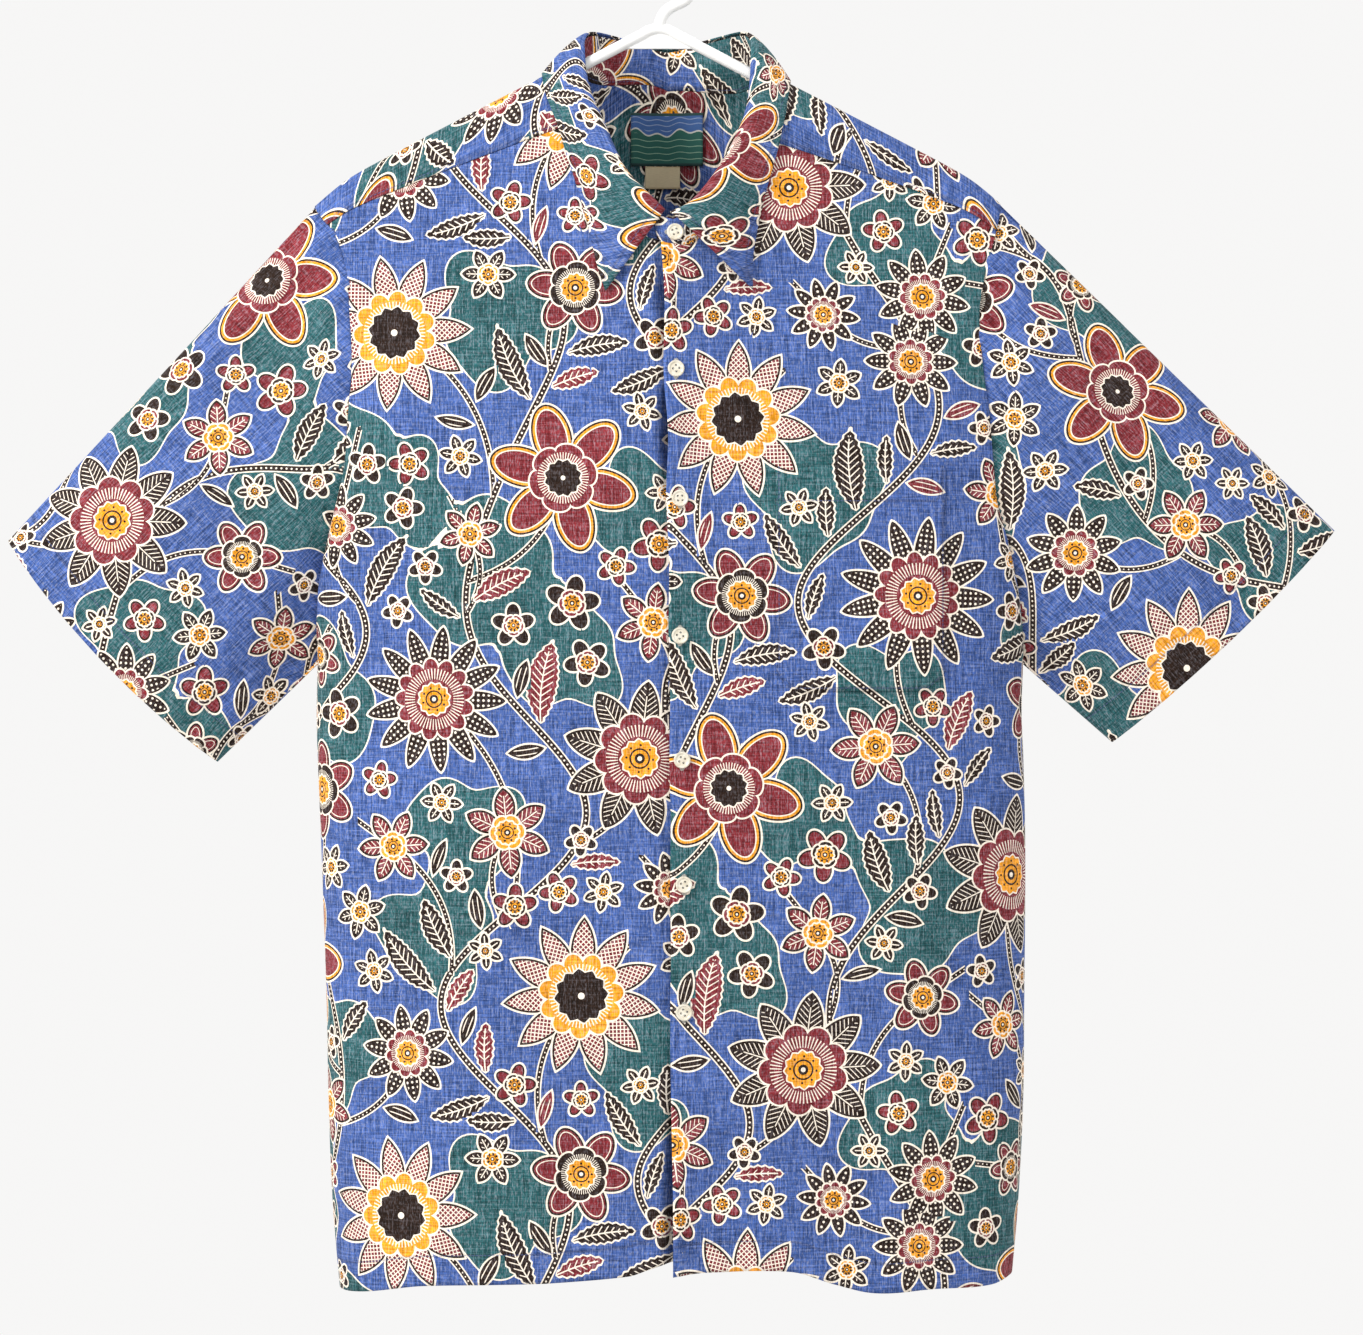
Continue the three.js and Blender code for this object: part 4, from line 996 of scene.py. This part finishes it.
# yoke: its columns fan out from the neck seam over both shoulders
yokeCloth = {
    "side": 61, "middle": 139, "rows": 52, "backTurn": 20, "frontTurn": 22, "lift": 0.35, "row": 2.2,
    "shift": (60, 480), "inside": (6, 0, -220), "flat": (0.49, 0.24), "area": 0.062,
}
yokeBack = float(form["yokeBack"])
columns = []
for side in (-1, 1):
    u = np.linspace(-1, 1, yokeCloth["side"])
    endX = edgeX(1, side, np.array(yokeBack))
    backRoot = math.sqrt(float(ridge(endX)) - yokeBack)
    rootDrop = np.where(u < 0, u * math.sqrt(form["yokeEnd"]), u * backRoot)
    station = 90 + u * np.abs(u) * np.where(u < 0, yokeCloth["frontTurn"], yokeCloth["backTurn"])
    outerX = np.where(u < 0, armholeX(-1, side, rootDrop), armholeX(1, side, rootDrop))
    innerX, innerRoot = neckPlace(station if side < 0 else 360 - station)
    columns.append(np.stack([innerX, innerRoot, outerX, rootDrop]))
left, right = edgeX(1, -1, np.array(yokeBack)), edgeX(1, 1, np.array(yokeBack))
u = np.linspace(0, 1, yokeCloth["middle"])[1:-1]
seamX = left + (right - left) * u
firstTurn = 90 + yokeCloth["backTurn"]
innerX, innerRoot = neckPlace(firstTurn + (360 - 2 * firstTurn) * u)
columns.insert(1, np.stack([innerX, innerRoot, seamX, np.sqrt(ridge(seamX) - yokeBack)]))
columns[2] = columns[2][:, ::-1]
innerX, innerRoot, outerX, outerRoot = np.concatenate(columns, 1)
b = np.linspace(0, 1, yokeCloth["rows"])[:, None]
x = innerX + (outerX - innerX) * b
rootDrop = innerRoot + (outerRoot - innerRoot) * b
seam = np.where(x < form["neckX"], seamRoot(-1, x), seamRoot(1, x))
rootDrop = np.where(rootDrop < 0, -np.minimum(-rootDrop, np.sqrt(seam**2 + 0.9)), rootDrop)
points = shoulderAt(x, rootDrop, yokeCloth["lift"])
rise = -np.sign(rootDrop) * np.hypot(points[..., 1], points[..., 2] - ridge(x))
toFront = (np.abs(seam) - np.abs(rootDrop)) * np.abs(seam) * 1.6
toBack = points[..., 2] - yokeBack
far = np.full_like(x, 99.0)
sewn = nearestRow((np.where(rootDrop < 0, toFront, far) - yokeCloth["row"], x),
                  (np.where(rootDrop > 0, toBack, far) - yokeCloth["row"], x))
cut = np.stack([x + yokeCloth["shift"][0], rise + yokeCloth["shift"][1]], -1)
yoke = clothPiece("yokeCloth", "yoke", points, cut, sewn, weave["thick"], yokeCloth["inside"])
print("body sewn")

# sleeves: face, place round, half width, start, end and depth of each fold
sleeves = [
    {"name": "sleeveRight", "node": "sleeve_right", "side": -1, "top": (-449, -411), "low": (-304.5, -563.5),
     "bow": 8, "shift": (40, 330), "area": 0.107, "folds": [
         (-1, 0.28, 0.1, 0, 0.55, -5), (-1, 0.66, 0.09, 0, 0.7, 4), (-1, 0.84, 0.07, 0.02, 0.6, -5),
         (1, 0.45, 0.12, 0, 0.8, -5), (-1, 0.5, 0.035, 0.1, 0.85, -1.6), (-1, 0.14, 0.04, 0, 0.7, 1.6),
         (-1, 0.38, 0.03, 0.25, 1.1, 1.2), (-1, 0.76, 0.03, 0.3, 1.1, -1.6), (1, 0.7, 0.06, 0, 0.9, 3),
         (1, 0.2, 0.05, 0, 0.8, 2)],
     "puckers": {
         "first": 0.035, "every": 0.06, "half": 0.017, "long": (0.2, 0.25, 0.3), "deep": (1.7, -1.5)}},
    {"name": "sleeveLeft", "node": "sleeve_left", "side": 1, "top": (466, -404), "low": (312.5, -550),
     "bow": 4, "shift": (260, 90), "area": 0.103, "folds": [
         (-1, 0.36, 0.09, 0, 0.6, 4), (-1, 0.6, 0.08, 0, 0.9, -4), (-1, 0.86, 0.07, 0, 0.65, -5),
         (1, 0.5, 0.12, 0, 0.8, -5), (-1, 0.22, 0.035, 0, 0.8, -1.6), (-1, 0.48, 0.03, 0.2, 1.1, 1.3),
         (-1, 0.73, 0.035, 0.1, 1.0, 1.8), (1, 0.25, 0.05, 0, 0.8, 2), (1, 0.75, 0.05, 0, 0.9, 2.5)],
     "puckers": {
         "first": 0.04, "every": 0.065, "half": 0.018, "long": (0.18, 0.24), "deep": (-1.5, 1.6)}},
]
sleeve = {
    "columns": 176, "rows": 92, "underarm": -495, "lift": -1.0, "clear": 1.2, "open": 23, "puff": 7,
    "crease": 1.45, "hemDepth": 24, "flat": (0.6, 0.27),
}
for spec in sleeves:
    side = spec["side"]
    around = np.mod(np.linspace(0.5005, 1.4995, sleeve["columns"]), 1.0)[None, :]
    b = np.linspace(0, 1, sleeve["rows"])[:, None]
    down = (1 - np.cos(around * 2 * math.pi)) / 2
    start = np.zeros(around.shape + (3,))
    for face in (-1, 1):
        tipX = armholeX(face, side, np.array(0.0))
        z = ridge(tipX) + (sleeve["underarm"] - ridge(tipX)) * down
        edge = bodyAt(face, edgeX(face, side, z), z, sleeve["lift"])
        start = np.where(((around < 0.5) == (face < 0))[..., None], edge, start)
    start[..., 0] -= side * sleeve["clear"]
    top, low = np.array(spec["top"], float), np.array(spec["low"], float)
    centre, half = (top + low) / 2, (top - low) / 2
    axis = unit(np.array([side * abs(half[1]), -abs(half[0])]))
    outward = -np.sin(around * 2 * math.pi)
    bow = axis * (spec["bow"] * outward**2)[..., None]
    endFlat = centre + half * np.cos(around * 2 * math.pi)[..., None] + bow
    end = np.stack([endFlat[..., 0], outward * sleeve["open"], endFlat[..., 1]], -1)
    points = start * (1 - b)[..., None] + end * b[..., None]
    points[..., 1] += outward * sleeve["puff"] * np.sin(math.pi * b)
    place = np.where(around < 0.5, around, 1 - around) * 2
    folds, small = list(spec["folds"]), spec["puckers"]
    for i in range(6):  # short puckers along the armhole seam
        long, deep = small["long"][i % len(small["long"])], small["deep"][i % 2]
        folds.append((-1, small["first"] + small["every"] * i, small["half"], -0.1, long, deep))
    for face, at, wide, begin, stop, deep in folds:
        here = np.clip((b - begin) / (stop - begin), 0, 1)
        swell = sleeve["crease"] * deep * bell((place - at) / wide) * np.sin(math.pi * here) ** 2
        points[..., 1] += np.where((around < 0.5) == (face < 0), face * swell, 0)
    points[..., 1] += 0.4 * np.sin(place * 60) * bell((b - 1) * 9)
    tip = points[0, points.shape[1] // 2]
    flatLine = points[..., [0, 2]] - tip[[0, 2]]
    along = flatLine @ axis
    across = -(flatLine @ unit(half))
    run = lengthsAlong(points, 1)
    planar = lengthsAlong(points[..., [0, 2]], 1)
    run, planar = [np.abs(q - q[:, q.shape[1] // 2][:, None]) for q in (run, planar)]
    reach = across + run - planar
    turned = np.where(around < 0.5, reach, -reach)
    cut = np.stack([turned + spec["shift"][0], spec["shift"][1] - along], -1)
    toHem = (1 - b) * np.hypot(*(end - start)[..., [0, 2]].reshape(-1, 2).T).reshape(1, -1)
    sewn = nearestRow((toHem - sleeve["hemDepth"], reach))
    piece = clothPiece(spec["name"], spec["node"], points, cut, sewn, weave["thick"], (side * 340, 0, -400))

# collar stand: its ends overlap in front
collarStand = {
    "ends": (-13, 366), "columns": 150, "rows": 9, "below": 2.6, "belowFront": 3, "frontHalf": 22,
    "sink": 2.4, "row": 2.4, "thick": 1.1, "shift": (95, 545), "inside": (6, 0, -110),
    "flat": (0.44, 0.032), "area": 0.0105,
}
station = np.linspace(*collarStand["ends"], collarStand["columns"])[None, :]
b = np.linspace(0, 1, collarStand["rows"])[:, None, None]
bottom = shoulderAt(*neckPlace(station), lift=0.2)
place, up, out = foldFrame(station)
turn = np.mod(station + 720, 360)
turn = np.minimum(turn, 360 - turn)
below = collarStand["below"] + collarStand["belowFront"] * bell(turn / collarStand["frontHalf"])
topEdge = place - up * below[..., None]
s = np.radians(station)
outward = np.stack([-np.sin(s), -np.cos(s), 0 * s], -1)
sink = collarStand["sink"] * (1 - ease(6, 14, station))
points = bottom * (1 - b) + topEdge * b - outward * sink[..., None]
run, rise = lengthsAlong(points, 1), lengthsAlong(points, 0)
sewn = nearestRow((rise - collarStand["row"], run))
evenRun = run.mean(0)[None, :] + 0 * run
cut = np.stack([evenRun + collarStand["shift"][0], rise + collarStand["shift"][1]], -1)
stand = clothPiece("collarStand", "collar_stand", points, cut, sewn, collarStand["thick"],
                   collarStand["inside"])

# collar leaf: it rolls over the stand and falls to its points
collarLeaf = {
    "ends": (1.5, 358.5), "columns": 190, "rows": 26, "clear": 3.0, "wave": 0.8, "behind": 1.6, "rollOut": 7,
    "rollUp": 3.5, "row": 6, "thick": 1.2, "shift": (330, 260), "inside": (6, 0, -130), "flat": (0.5, 0.075),
    "area": 0.023,
}
station = np.linspace(*collarLeaf["ends"], collarLeaf["columns"])[None, :]
b = np.linspace(0, 1, collarLeaf["rows"])[:, None, None]
place, up, out = foldFrame(station)
edgeAcross = bySide(station, neckTurns, leafTable["leftX"], leafTable["rightX"])
edgeRoot = bySide(station, neckTurns, leafTable["leftDrop"], leafTable["rightDrop"])
edge = shoulderAt(edgeAcross, edgeRoot)
over = shoulderAt(edgeAcross, edgeRoot + 0.2) - edge
beside = shoulderAt(edgeAcross + 0.2, edgeRoot) - edge
clear = collarLeaf["clear"] + collarLeaf["wave"] * np.sin(station / 9)
edge = edge + unit(np.cross(beside, over)) * clear[..., None]
begin = place - out * collarLeaf["behind"]
roll = place + out * collarLeaf["rollOut"] + up * collarLeaf["rollUp"]
points = begin * (1 - b) ** 2 + roll * 2 * b * (1 - b) + edge * b**2
run, rise = lengthsAlong(points, 1), lengthsAlong(points, 0)
toEdge = rise[-1:] - rise
toEnd = np.minimum(run, run[:, -1:] - run)
sewn = nearestRow((toEdge - collarLeaf["row"], run), (toEnd - collarLeaf["row"], rise))
fromBack = run - run[:, run.shape[1] // 2][:, None]
cut = np.stack([collarLeaf["shift"][0] + fromBack, collarLeaf["shift"][1] - rise], -1)
leaf = clothPiece("collarLeaf", "collar_leaf", points, cut, sewn, collarLeaf["thick"], collarLeaf["inside"])

# pocket: laid on the wearer's left front, its print matched to the front's
pocket = {
    "left": 79.5, "right": 195, "top": -361.4, "bottom": -514.4, "mitre": 12, "lift": 1.0, "sag": 1.6,
    "row": 2, "hemDepth": 24, "thick": 0.7, "inside": (140, 200, -440), "flat": (0.12, 0.158),
}
across = np.linspace(pocket["left"], pocket["right"], 36)[None, :]
toSide = np.minimum(across - pocket["left"], pocket["right"] - across)
corner = np.maximum(0, pocket["mitre"] - toSide)
z = pocket["top"] + (pocket["bottom"] + corner - pocket["top"]) * np.linspace(0, 1, 46)[:, None]
across = np.broadcast_to(across, z.shape)
arch = np.sin(math.pi * (across - pocket["left"]) / (pocket["right"] - pocket["left"])) ** 2
points = bodyAt(-1, across, z)
points[..., 1] -= pocket["lift"] + pocket["sag"] * bell((z - pocket["top"]) / 16) * arch
halfWide = edgeX(-1, 1, z) - middleX(z)
matched = aroundFront(turnOf((across - middleX(z)) / halfWide), z)
cut = np.stack([matched + fronts[1]["shift"][0], z + fronts[1]["shift"][1]], -1)
toLow = z - pocket["bottom"] - corner
sewn = nearestRow((toSide + 0 * z - pocket["row"], z), (toLow - pocket["row"], across),
                  (pocket["top"] - z - pocket["hemDepth"], across))
patch = clothPiece("chestPocket", "pocket", points, cut, sewn, pocket["thick"], pocket["inside"])
print("cloth done")


# label and size tab, woven and bare of words
def wovenMaterial(name, kind):
    material, shader = startMaterial(name, 0.7, Sheen_Weight=0.2, Sheen_Roughness=0.4)
    u, v = split(coords("UV"))[:2]
    u, v = u * 1000.0, v * 1000.0
    if kind == "label":
        wave = step("SINE", u * 0.42) * 1.5 + step("SINE", u * 0.17 + 1.3) * 1.8
        crest = v - 23.0 - wave
        colour = blend(crest > 0.0, (0.008, 0.115, 0.085, 1), (0.05, 0.14, 0.42, 1))
        colour = blend(between(crest, -0.5, 0.6), colour, (0.75, 0.75, 0.68, 1))
        ripples = part((v - wave * 0.5) / 3.6) < 0.16
        colour = blend(ripples * (crest > 3.0), colour, (0.35, 0.45, 0.66, 1))
        low = (part((v - wave * 0.3) / 4.4) < 0.12) * (crest < -3.0)
        colour = blend(low, colour, (0.3, 0.5, 0.36, 1))
        colour = blend(size(v - 18.5) > 16.6, colour, (0.006, 0.05, 0.045, 1))
        yarn = (0.02, 0.05, 0.06, 1)
    else:
        colour = blend(size(v - 8.0) > 6.6, (0.8, 0.68, 0.44, 1), (0.66, 0.53, 0.32, 1))
        yarn = (0.5, 0.38, 0.22, 1)
    ribs = step("SINE", u * 12.0) * step("SINE", v * 9.0)
    slub = noise(joined(u * 0.3, v * 3.0), 1.0, 2.0)
    plug(shader.inputs["Base Color"], blend(ramp(slub, 0.3, 0.7, 0.0, 0.35), colour, yarn))
    bump(shader, ribs * 0.5 + slub, 0.0002, 0.8)
    return material


woven = {"thick": 0.45, "stand": 2.6, "curl": 0.5}
wovenPieces = [
    {"name": "neckLabel", "node": "label", "slot": "label", "x": (-20, 30.5), "z": (-110, -147)},
    {"name": "sizeTab", "node": "size_tab", "slot": "tab", "x": (-10, 14.5), "z": (-147.3, -163)},
]
for spec in wovenPieces:
    (left, right), (top, bottom) = spec["x"], spec["z"]
    x, z = np.meshgrid(np.linspace(left, right, 26), np.linspace(top, bottom, 19))
    points = bodyAt(1, x, z)
    points[..., 1] -= woven["stand"] + woven["curl"] * np.sin(x / 7.0) * bell((z - bottom) / 9)
    cut = np.stack([x - left, z - bottom], -1).reshape(-1, 2)
    weaving = wovenMaterial(spec["name"] + "Weave", spec["slot"])
    piece = sheetPiece(spec["name"], points, gridQuads(*x.shape)[:, ::-1], cut, woven["thick"], 1, weaving,
                       spec["node"])
    flat = ((right - left) * mm, (top - bottom) * mm)
print("labels done")


def meshOf(name, bm):
    mesh = bpy.data.meshes.new(name)
    bm.to_mesh(mesh)
    bm.free()
    return mesh


def evaluated(holder):  # the mesh that an object's modifiers or curve make, without the object
    mesh = bpy.data.meshes.new_from_object(holder.evaluated_get(bpy.context.evaluated_depsgraph_get()))
    bpy.data.objects.remove(holder)
    return mesh


def hardPiece(name, mesh, material):
    mesh.materials.clear()
    mesh.materials.append(material)
    piece = placeObject(name, mesh)
    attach(piece, "root")
    return piece


# buttons: a turned disc with a raised rim, four holes and crossed thread
button = {
    "radius": 5.7, "thick": 2.4, "rim": 1.1, "dish": 0.55, "hole": 0.75, "spread": 1.45, "round": 0.9,
    "steps": 40, "spins": [20, 50, 5, 35, 70, 25, 60],
}
stitch = {"radius": 0.26, "apart": 0.22, "sag": 0.6}
buttonhole = {"straight": 11.0, "half": 1.1, "bars": 46, "barLong": 1.3, "barRadius": 0.27, "lift": 0.1}


def pearlMaterial():
    material, shader = startMaterial("buttonPearl", 0.28, Coat_Weight=0.35, Coat_Roughness=0.15)
    at = coords("Object")
    swirl = noise(at, 260.0, 4.0, 0.6)
    grain = noise(at, 900.0, 2.0)
    colour = blend(ramp(swirl, 0.35, 0.65), (0.62, 0.56, 0.43, 1), (0.8, 0.76, 0.66, 1))
    colour = blend(ramp(grain, 0.5, 0.75, 0.0, 0.4), colour, (0.45, 0.37, 0.25, 1))
    plug(shader.inputs["Base Color"], colour)
    bump(shader, grain, 0.0001, 0.5)
    return material


def threadMaterial():
    material, shader = startMaterial("sewingThread", 0.75, Sheen_Weight=0.2)
    twist = noise(coords("Object"), 2500.0, 1.0)
    colour = blend(ramp(twist, 0.3, 0.7), (0.3, 0.29, 0.27, 1), (0.62, 0.6, 0.55, 1))
    plug(shader.inputs["Base Color"], colour)
    bump(shader, twist, 0.0002, 0.8)
    return material


def rod(bm, segments, radius, depth, matrix):
    radius = radius * mm
    return bmesh.ops.create_cone(bm, cap_ends=True, segments=segments, radius1=radius, radius2=radius,
                                 depth=depth, matrix=matrix)


def aimed(way):
    return way.to_track_quat("Z", "Y").to_matrix().to_4x4()


def buttonMesh():
    bm = bmesh.new()
    r, t, rim, bevel = button["radius"], button["thick"], button["rim"], button["round"]
    dish = t - button["dish"]
    outline = [(0, 0), (r - bevel, 0), (r, bevel), (r, t - bevel), (r - bevel / 2, t), (r - rim, t),
               (r - rim - 0.8, dish), (0, dish)]
    verts = [bm.verts.new((x * mm, 0, z * mm)) for x, z in outline]
    for a, b in zip(verts, verts[1:]):
        bm.edges.new((a, b))
    bmesh.ops.spin(bm, geom=bm.verts[:] + bm.edges[:], cent=(0, 0, 0), axis=(0, 0, 1), angle=2 * math.pi,
                   steps=button["steps"], use_merge=True)
    bmesh.ops.remove_doubles(bm, verts=bm.verts[:], dist=1e-6)
    bmesh.ops.recalc_face_normals(bm, faces=bm.faces[:])
    blank = placeObject("buttonBlank", meshOf("buttonBlank", bm))
    drill = bmesh.new()
    for sx, sy in ((1, 1), (-1, 1), (-1, -1), (1, -1)):
        at = Matrix.Translation((sx * button["spread"] * mm, sy * button["spread"] * mm, 0))
        rod(drill, 16, button["hole"], 8 * mm, at)
    drillObject = placeObject("buttonDrill", meshOf("buttonDrill", drill))
    holes = blank.modifiers.new("holes", "BOOLEAN")
    holes.object, holes.operation, holes.solver = drillObject, "DIFFERENCE", "EXACT"
    done = evaluated(blank)
    bpy.data.objects.remove(drillObject)
    return done


def threadMesh():  # two crossed passes through the holes
    bm = bmesh.new()
    s, height = button["spread"], button["thick"] - button["dish"] - 0.5
    for start, stop in (((s, s), (-s, -s)), ((-s, s), (s, -s))):
        for shift in (-stitch["apart"], stitch["apart"]):
            a = Vector((start[0] + shift, start[1], height)) * mm
            b = Vector((stop[0] + shift, stop[1], height)) * mm
            way, middle = b - a, (a + b) / 2
            spot = Matrix.Translation(middle + Vector((0, 0, 0.75 * mm))) @ aimed(way)
            for v in rod(bm, 8, stitch["radius"], way.length, spot)["verts"]:
                away = (v.co - middle).xy.length / (way.length / 2)
                v.co.z -= stitch["sag"] * mm * min(1, away) ** 2
    return meshOf("buttonThread", bm)


def buttonholeMesh():  # a ring of bar stitches round a slit
    bm = bmesh.new()
    straight, wide = buttonhole["straight"], buttonhole["half"]
    bend = math.pi * wide
    for i in range(buttonhole["bars"]):
        run = 2 * (straight + bend) * i / buttonhole["bars"]
        end = 1 if run < straight + bend else -1
        run = run if end > 0 else run - straight - bend
        if run < straight:
            x, y, out = end * wide, end * (run - straight / 2), (end, 0)
        else:
            a = (run - straight) / wide
            out = (end * math.cos(a), end * math.sin(a))
            x, y = wide * out[0], end * straight / 2 + wide * out[1]
        at = Matrix.Translation((x * mm, y * mm, buttonhole["lift"] * mm))
        rod(bm, 6, buttonhole["barRadius"], buttonhole["barLong"] * mm, at @ aimed(Vector((*out, 0))))
    return meshOf("buttonhole", bm)


pearl, thread = pearlMaterial(), threadMaterial()
blankMesh, stitchMesh, holeMesh = buttonMesh(), threadMesh(), buttonholeMesh()
for i, spin in enumerate(button["spins"]):
    low, high = [Vector(c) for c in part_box(f"button_{i + 1}")]
    middle = (low + high) / 2
    x, z = middle.x / mm, middle.z / mm
    skin = bodyAt(-1, np.array([x, x + 3, x]), np.array([z, z, z + 3]))
    outward = Vector(np.cross(skin[1] - skin[0], skin[2] - skin[0])).normalized()
    if outward.y > 0:
        outward.negate()
    if i == 0:  # the collar's button, on the stand
        outward = Vector((0.06, -0.98, 0.12)).normalized()
    half = button["thick"] / 2
    turned = aimed(outward) @ Matrix.Rotation(math.radians(spin), 4, "Z")
    seat = Matrix.Translation(middle - outward * half * mm) @ turned
    upright = Matrix.Rotation(math.radians(90 if i == 0 else 0), 4, "Z")
    under = Matrix.Translation(middle - outward * (half + 0.05) * mm) @ aimed(outward) @ upright
    for name, source, material, place in (
            (f"shirtButton{i + 1}", blankMesh, pearl, seat),
            (f"buttonThread{i + 1}", stitchMesh, thread, seat),
            (f"buttonhole{i + 1}", holeMesh, thread, under)):
        mesh = source.copy()
        mesh.transform(place)
        piece = hardPiece(name, mesh, material)
        if source is blankMesh:
            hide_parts(f"button_{i + 1}")
print("buttons done")


# hanger: a closed bent tube, its hook, and a thin web between the arms at the peak
hanger = {
    "peakZ": -55.9, "half": 213, "barZ": -200, "corner": 15, "cornerOut": 4, "tube": 3.95, "slope": 0.5206,
    "peakHalf": 12, "hook": 25, "sweep": 236, "hookStart": 198, "hookTop": 4, "webLow": -71.8, "webThick": 3,
    "webHalf": 9, "webDrop": 4, "webRound": 0.5,
}


def plasticMaterial():
    material, shader = startMaterial("hangerPlastic", 0.33, Coat_Weight=0.15, Coat_Roughness=0.3)
    at = coords("Object")
    scuff = noise(at, 60.0, 4.0, 0.6)
    fine = noise(at, 700.0, 2.0)
    colour = blend(ramp(scuff, 0.4, 0.75, 0.0, 0.5), (0.88, 0.88, 0.87, 1), (0.8, 0.79, 0.76, 1))
    plug(shader.inputs["Base Color"], colour)
    plug(shader.inputs["Roughness"], ramp(scuff, 0.3, 0.7, 0.26, 0.42))
    bump(shader, fine, 0.00008, 0.5)
    return material


def tubeAlong(name, route, closed):
    curve = bpy.data.curves.new(name, "CURVE")
    curve.dimensions = "3D"
    spline = curve.splines.new("POLY")
    spline.points.add(len(route) - 1)
    for spot, (x, z) in zip(spline.points, route):
        spot.co = (x * mm, 0, z * mm, 1)
    spline.use_cyclic_u = closed
    curve.bevel_depth = hanger["tube"] * mm
    curve.bevel_resolution = 6
    curve.use_fill_caps = True
    holder = placeObject(name, curve)
    bpy.context.view_layer.update()
    return evaluated(holder)


def bezier(a, b, c, d, count):
    t = np.linspace(0, 1, count)[:, None]
    a, b, c, d = [np.array(p, float) for p in (a, b, c, d)]
    return a * (1 - t) ** 3 + 3 * b * t * (1 - t) ** 2 + 3 * c * t**2 * (1 - t) + d * t**3


def bodyRoute():
    half, barZ, peakZ, wide = hanger["half"], hanger["barZ"], hanger["peakZ"], hanger["peakHalf"]
    armX = half - hanger["corner"]
    armZ, tipZ = [peakZ - hanger["slope"] * x for x in (armX, half)]
    corner = bezier((armX, armZ), (half + hanger["cornerOut"], tipZ), (half, barZ), (armX, barZ), 16)
    low, high = peakZ - 6.2, peakZ - 0.6
    peak = bezier((-wide, low), (-wide / 3, high), (wide / 3, high), (wide, low), 9)
    return np.concatenate([peak, corner, (corner * (-1, 1))[::-1]])


def hookRoute():
    r = hanger["hook"]
    angles = np.radians(hanger["hookStart"] - hanger["sweep"] * np.linspace(0, 1, 34))
    hook = np.stack([r * np.cos(angles), hanger["hookTop"] - r + r * np.sin(angles)], -1)
    leave = hook[-1] + (hook[-1] - hook[-2]) * 2.4
    neck = bezier(hook[-1], leave, (2, -40), (0, hanger["peakZ"] - 1), 14)[1:]
    return np.concatenate([hook, neck])


def webMesh():
    bm = bmesh.new()
    thick, low, top = hanger["webThick"] * mm, hanger["webLow"], hanger["peakZ"] - hanger["webDrop"]
    half = (hanger["peakZ"] - low) / hanger["slope"]
    outline = [bm.verts.new((x * mm, thick / 2, z * mm))
               for x, z in ((-half, low), (half, low), (hanger["webHalf"], top), (-hanger["webHalf"], top))]
    front = bmesh.ops.extrude_face_region(bm, geom=[bm.faces.new(outline)])
    moved = [v for v in front["geom"] if isinstance(v, bmesh.types.BMVert)]
    bmesh.ops.translate(bm, verts=moved, vec=(0, -thick, 0))
    bmesh.ops.bevel(bm, geom=bm.edges[:], offset=hanger["webRound"] * mm, offset_type="OFFSET",
                    affect="EDGES", segments=2, profile=0.5, material=-1)
    bmesh.ops.recalc_face_normals(bm, faces=bm.faces[:])
    return meshOf("hangerWeb", bm)


plastic = plasticMaterial()
for name, mesh in (("hangerBody", tubeAlong("hangerBody", bodyRoute(), True)),
                   ("hangerHook", tubeAlong("hangerHook", hookRoute(), False)), ("hangerWeb", webMesh())):
    mesh.polygons.foreach_set("use_smooth", np.full(len(mesh.polygons), name != "hangerWeb"))
    piece = hardPiece(name, mesh, plastic)
    if name == "hangerBody":
        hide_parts("hanger")
print("hanger done")


# floor
floor = bmesh.new()
floorAt = Matrix.Translation((0, -0.45, -1.15))
bmesh.ops.create_grid(floor, x_segments=4, y_segments=4, size=1.25, matrix=floorAt)
floorObject = placeObject("floor", meshOf("floor", floor))
paleFloor, floorShader = startMaterial("paleFloor", 0.85)
floorNoise = noise(coords("Object"), 14.0)
plug(floorShader.inputs["Base Color"], blend(floorNoise, (0.56, 0.56, 0.55, 1), (0.6, 0.6, 0.59, 1)))
floorObject.data.materials.append(paleFloor)
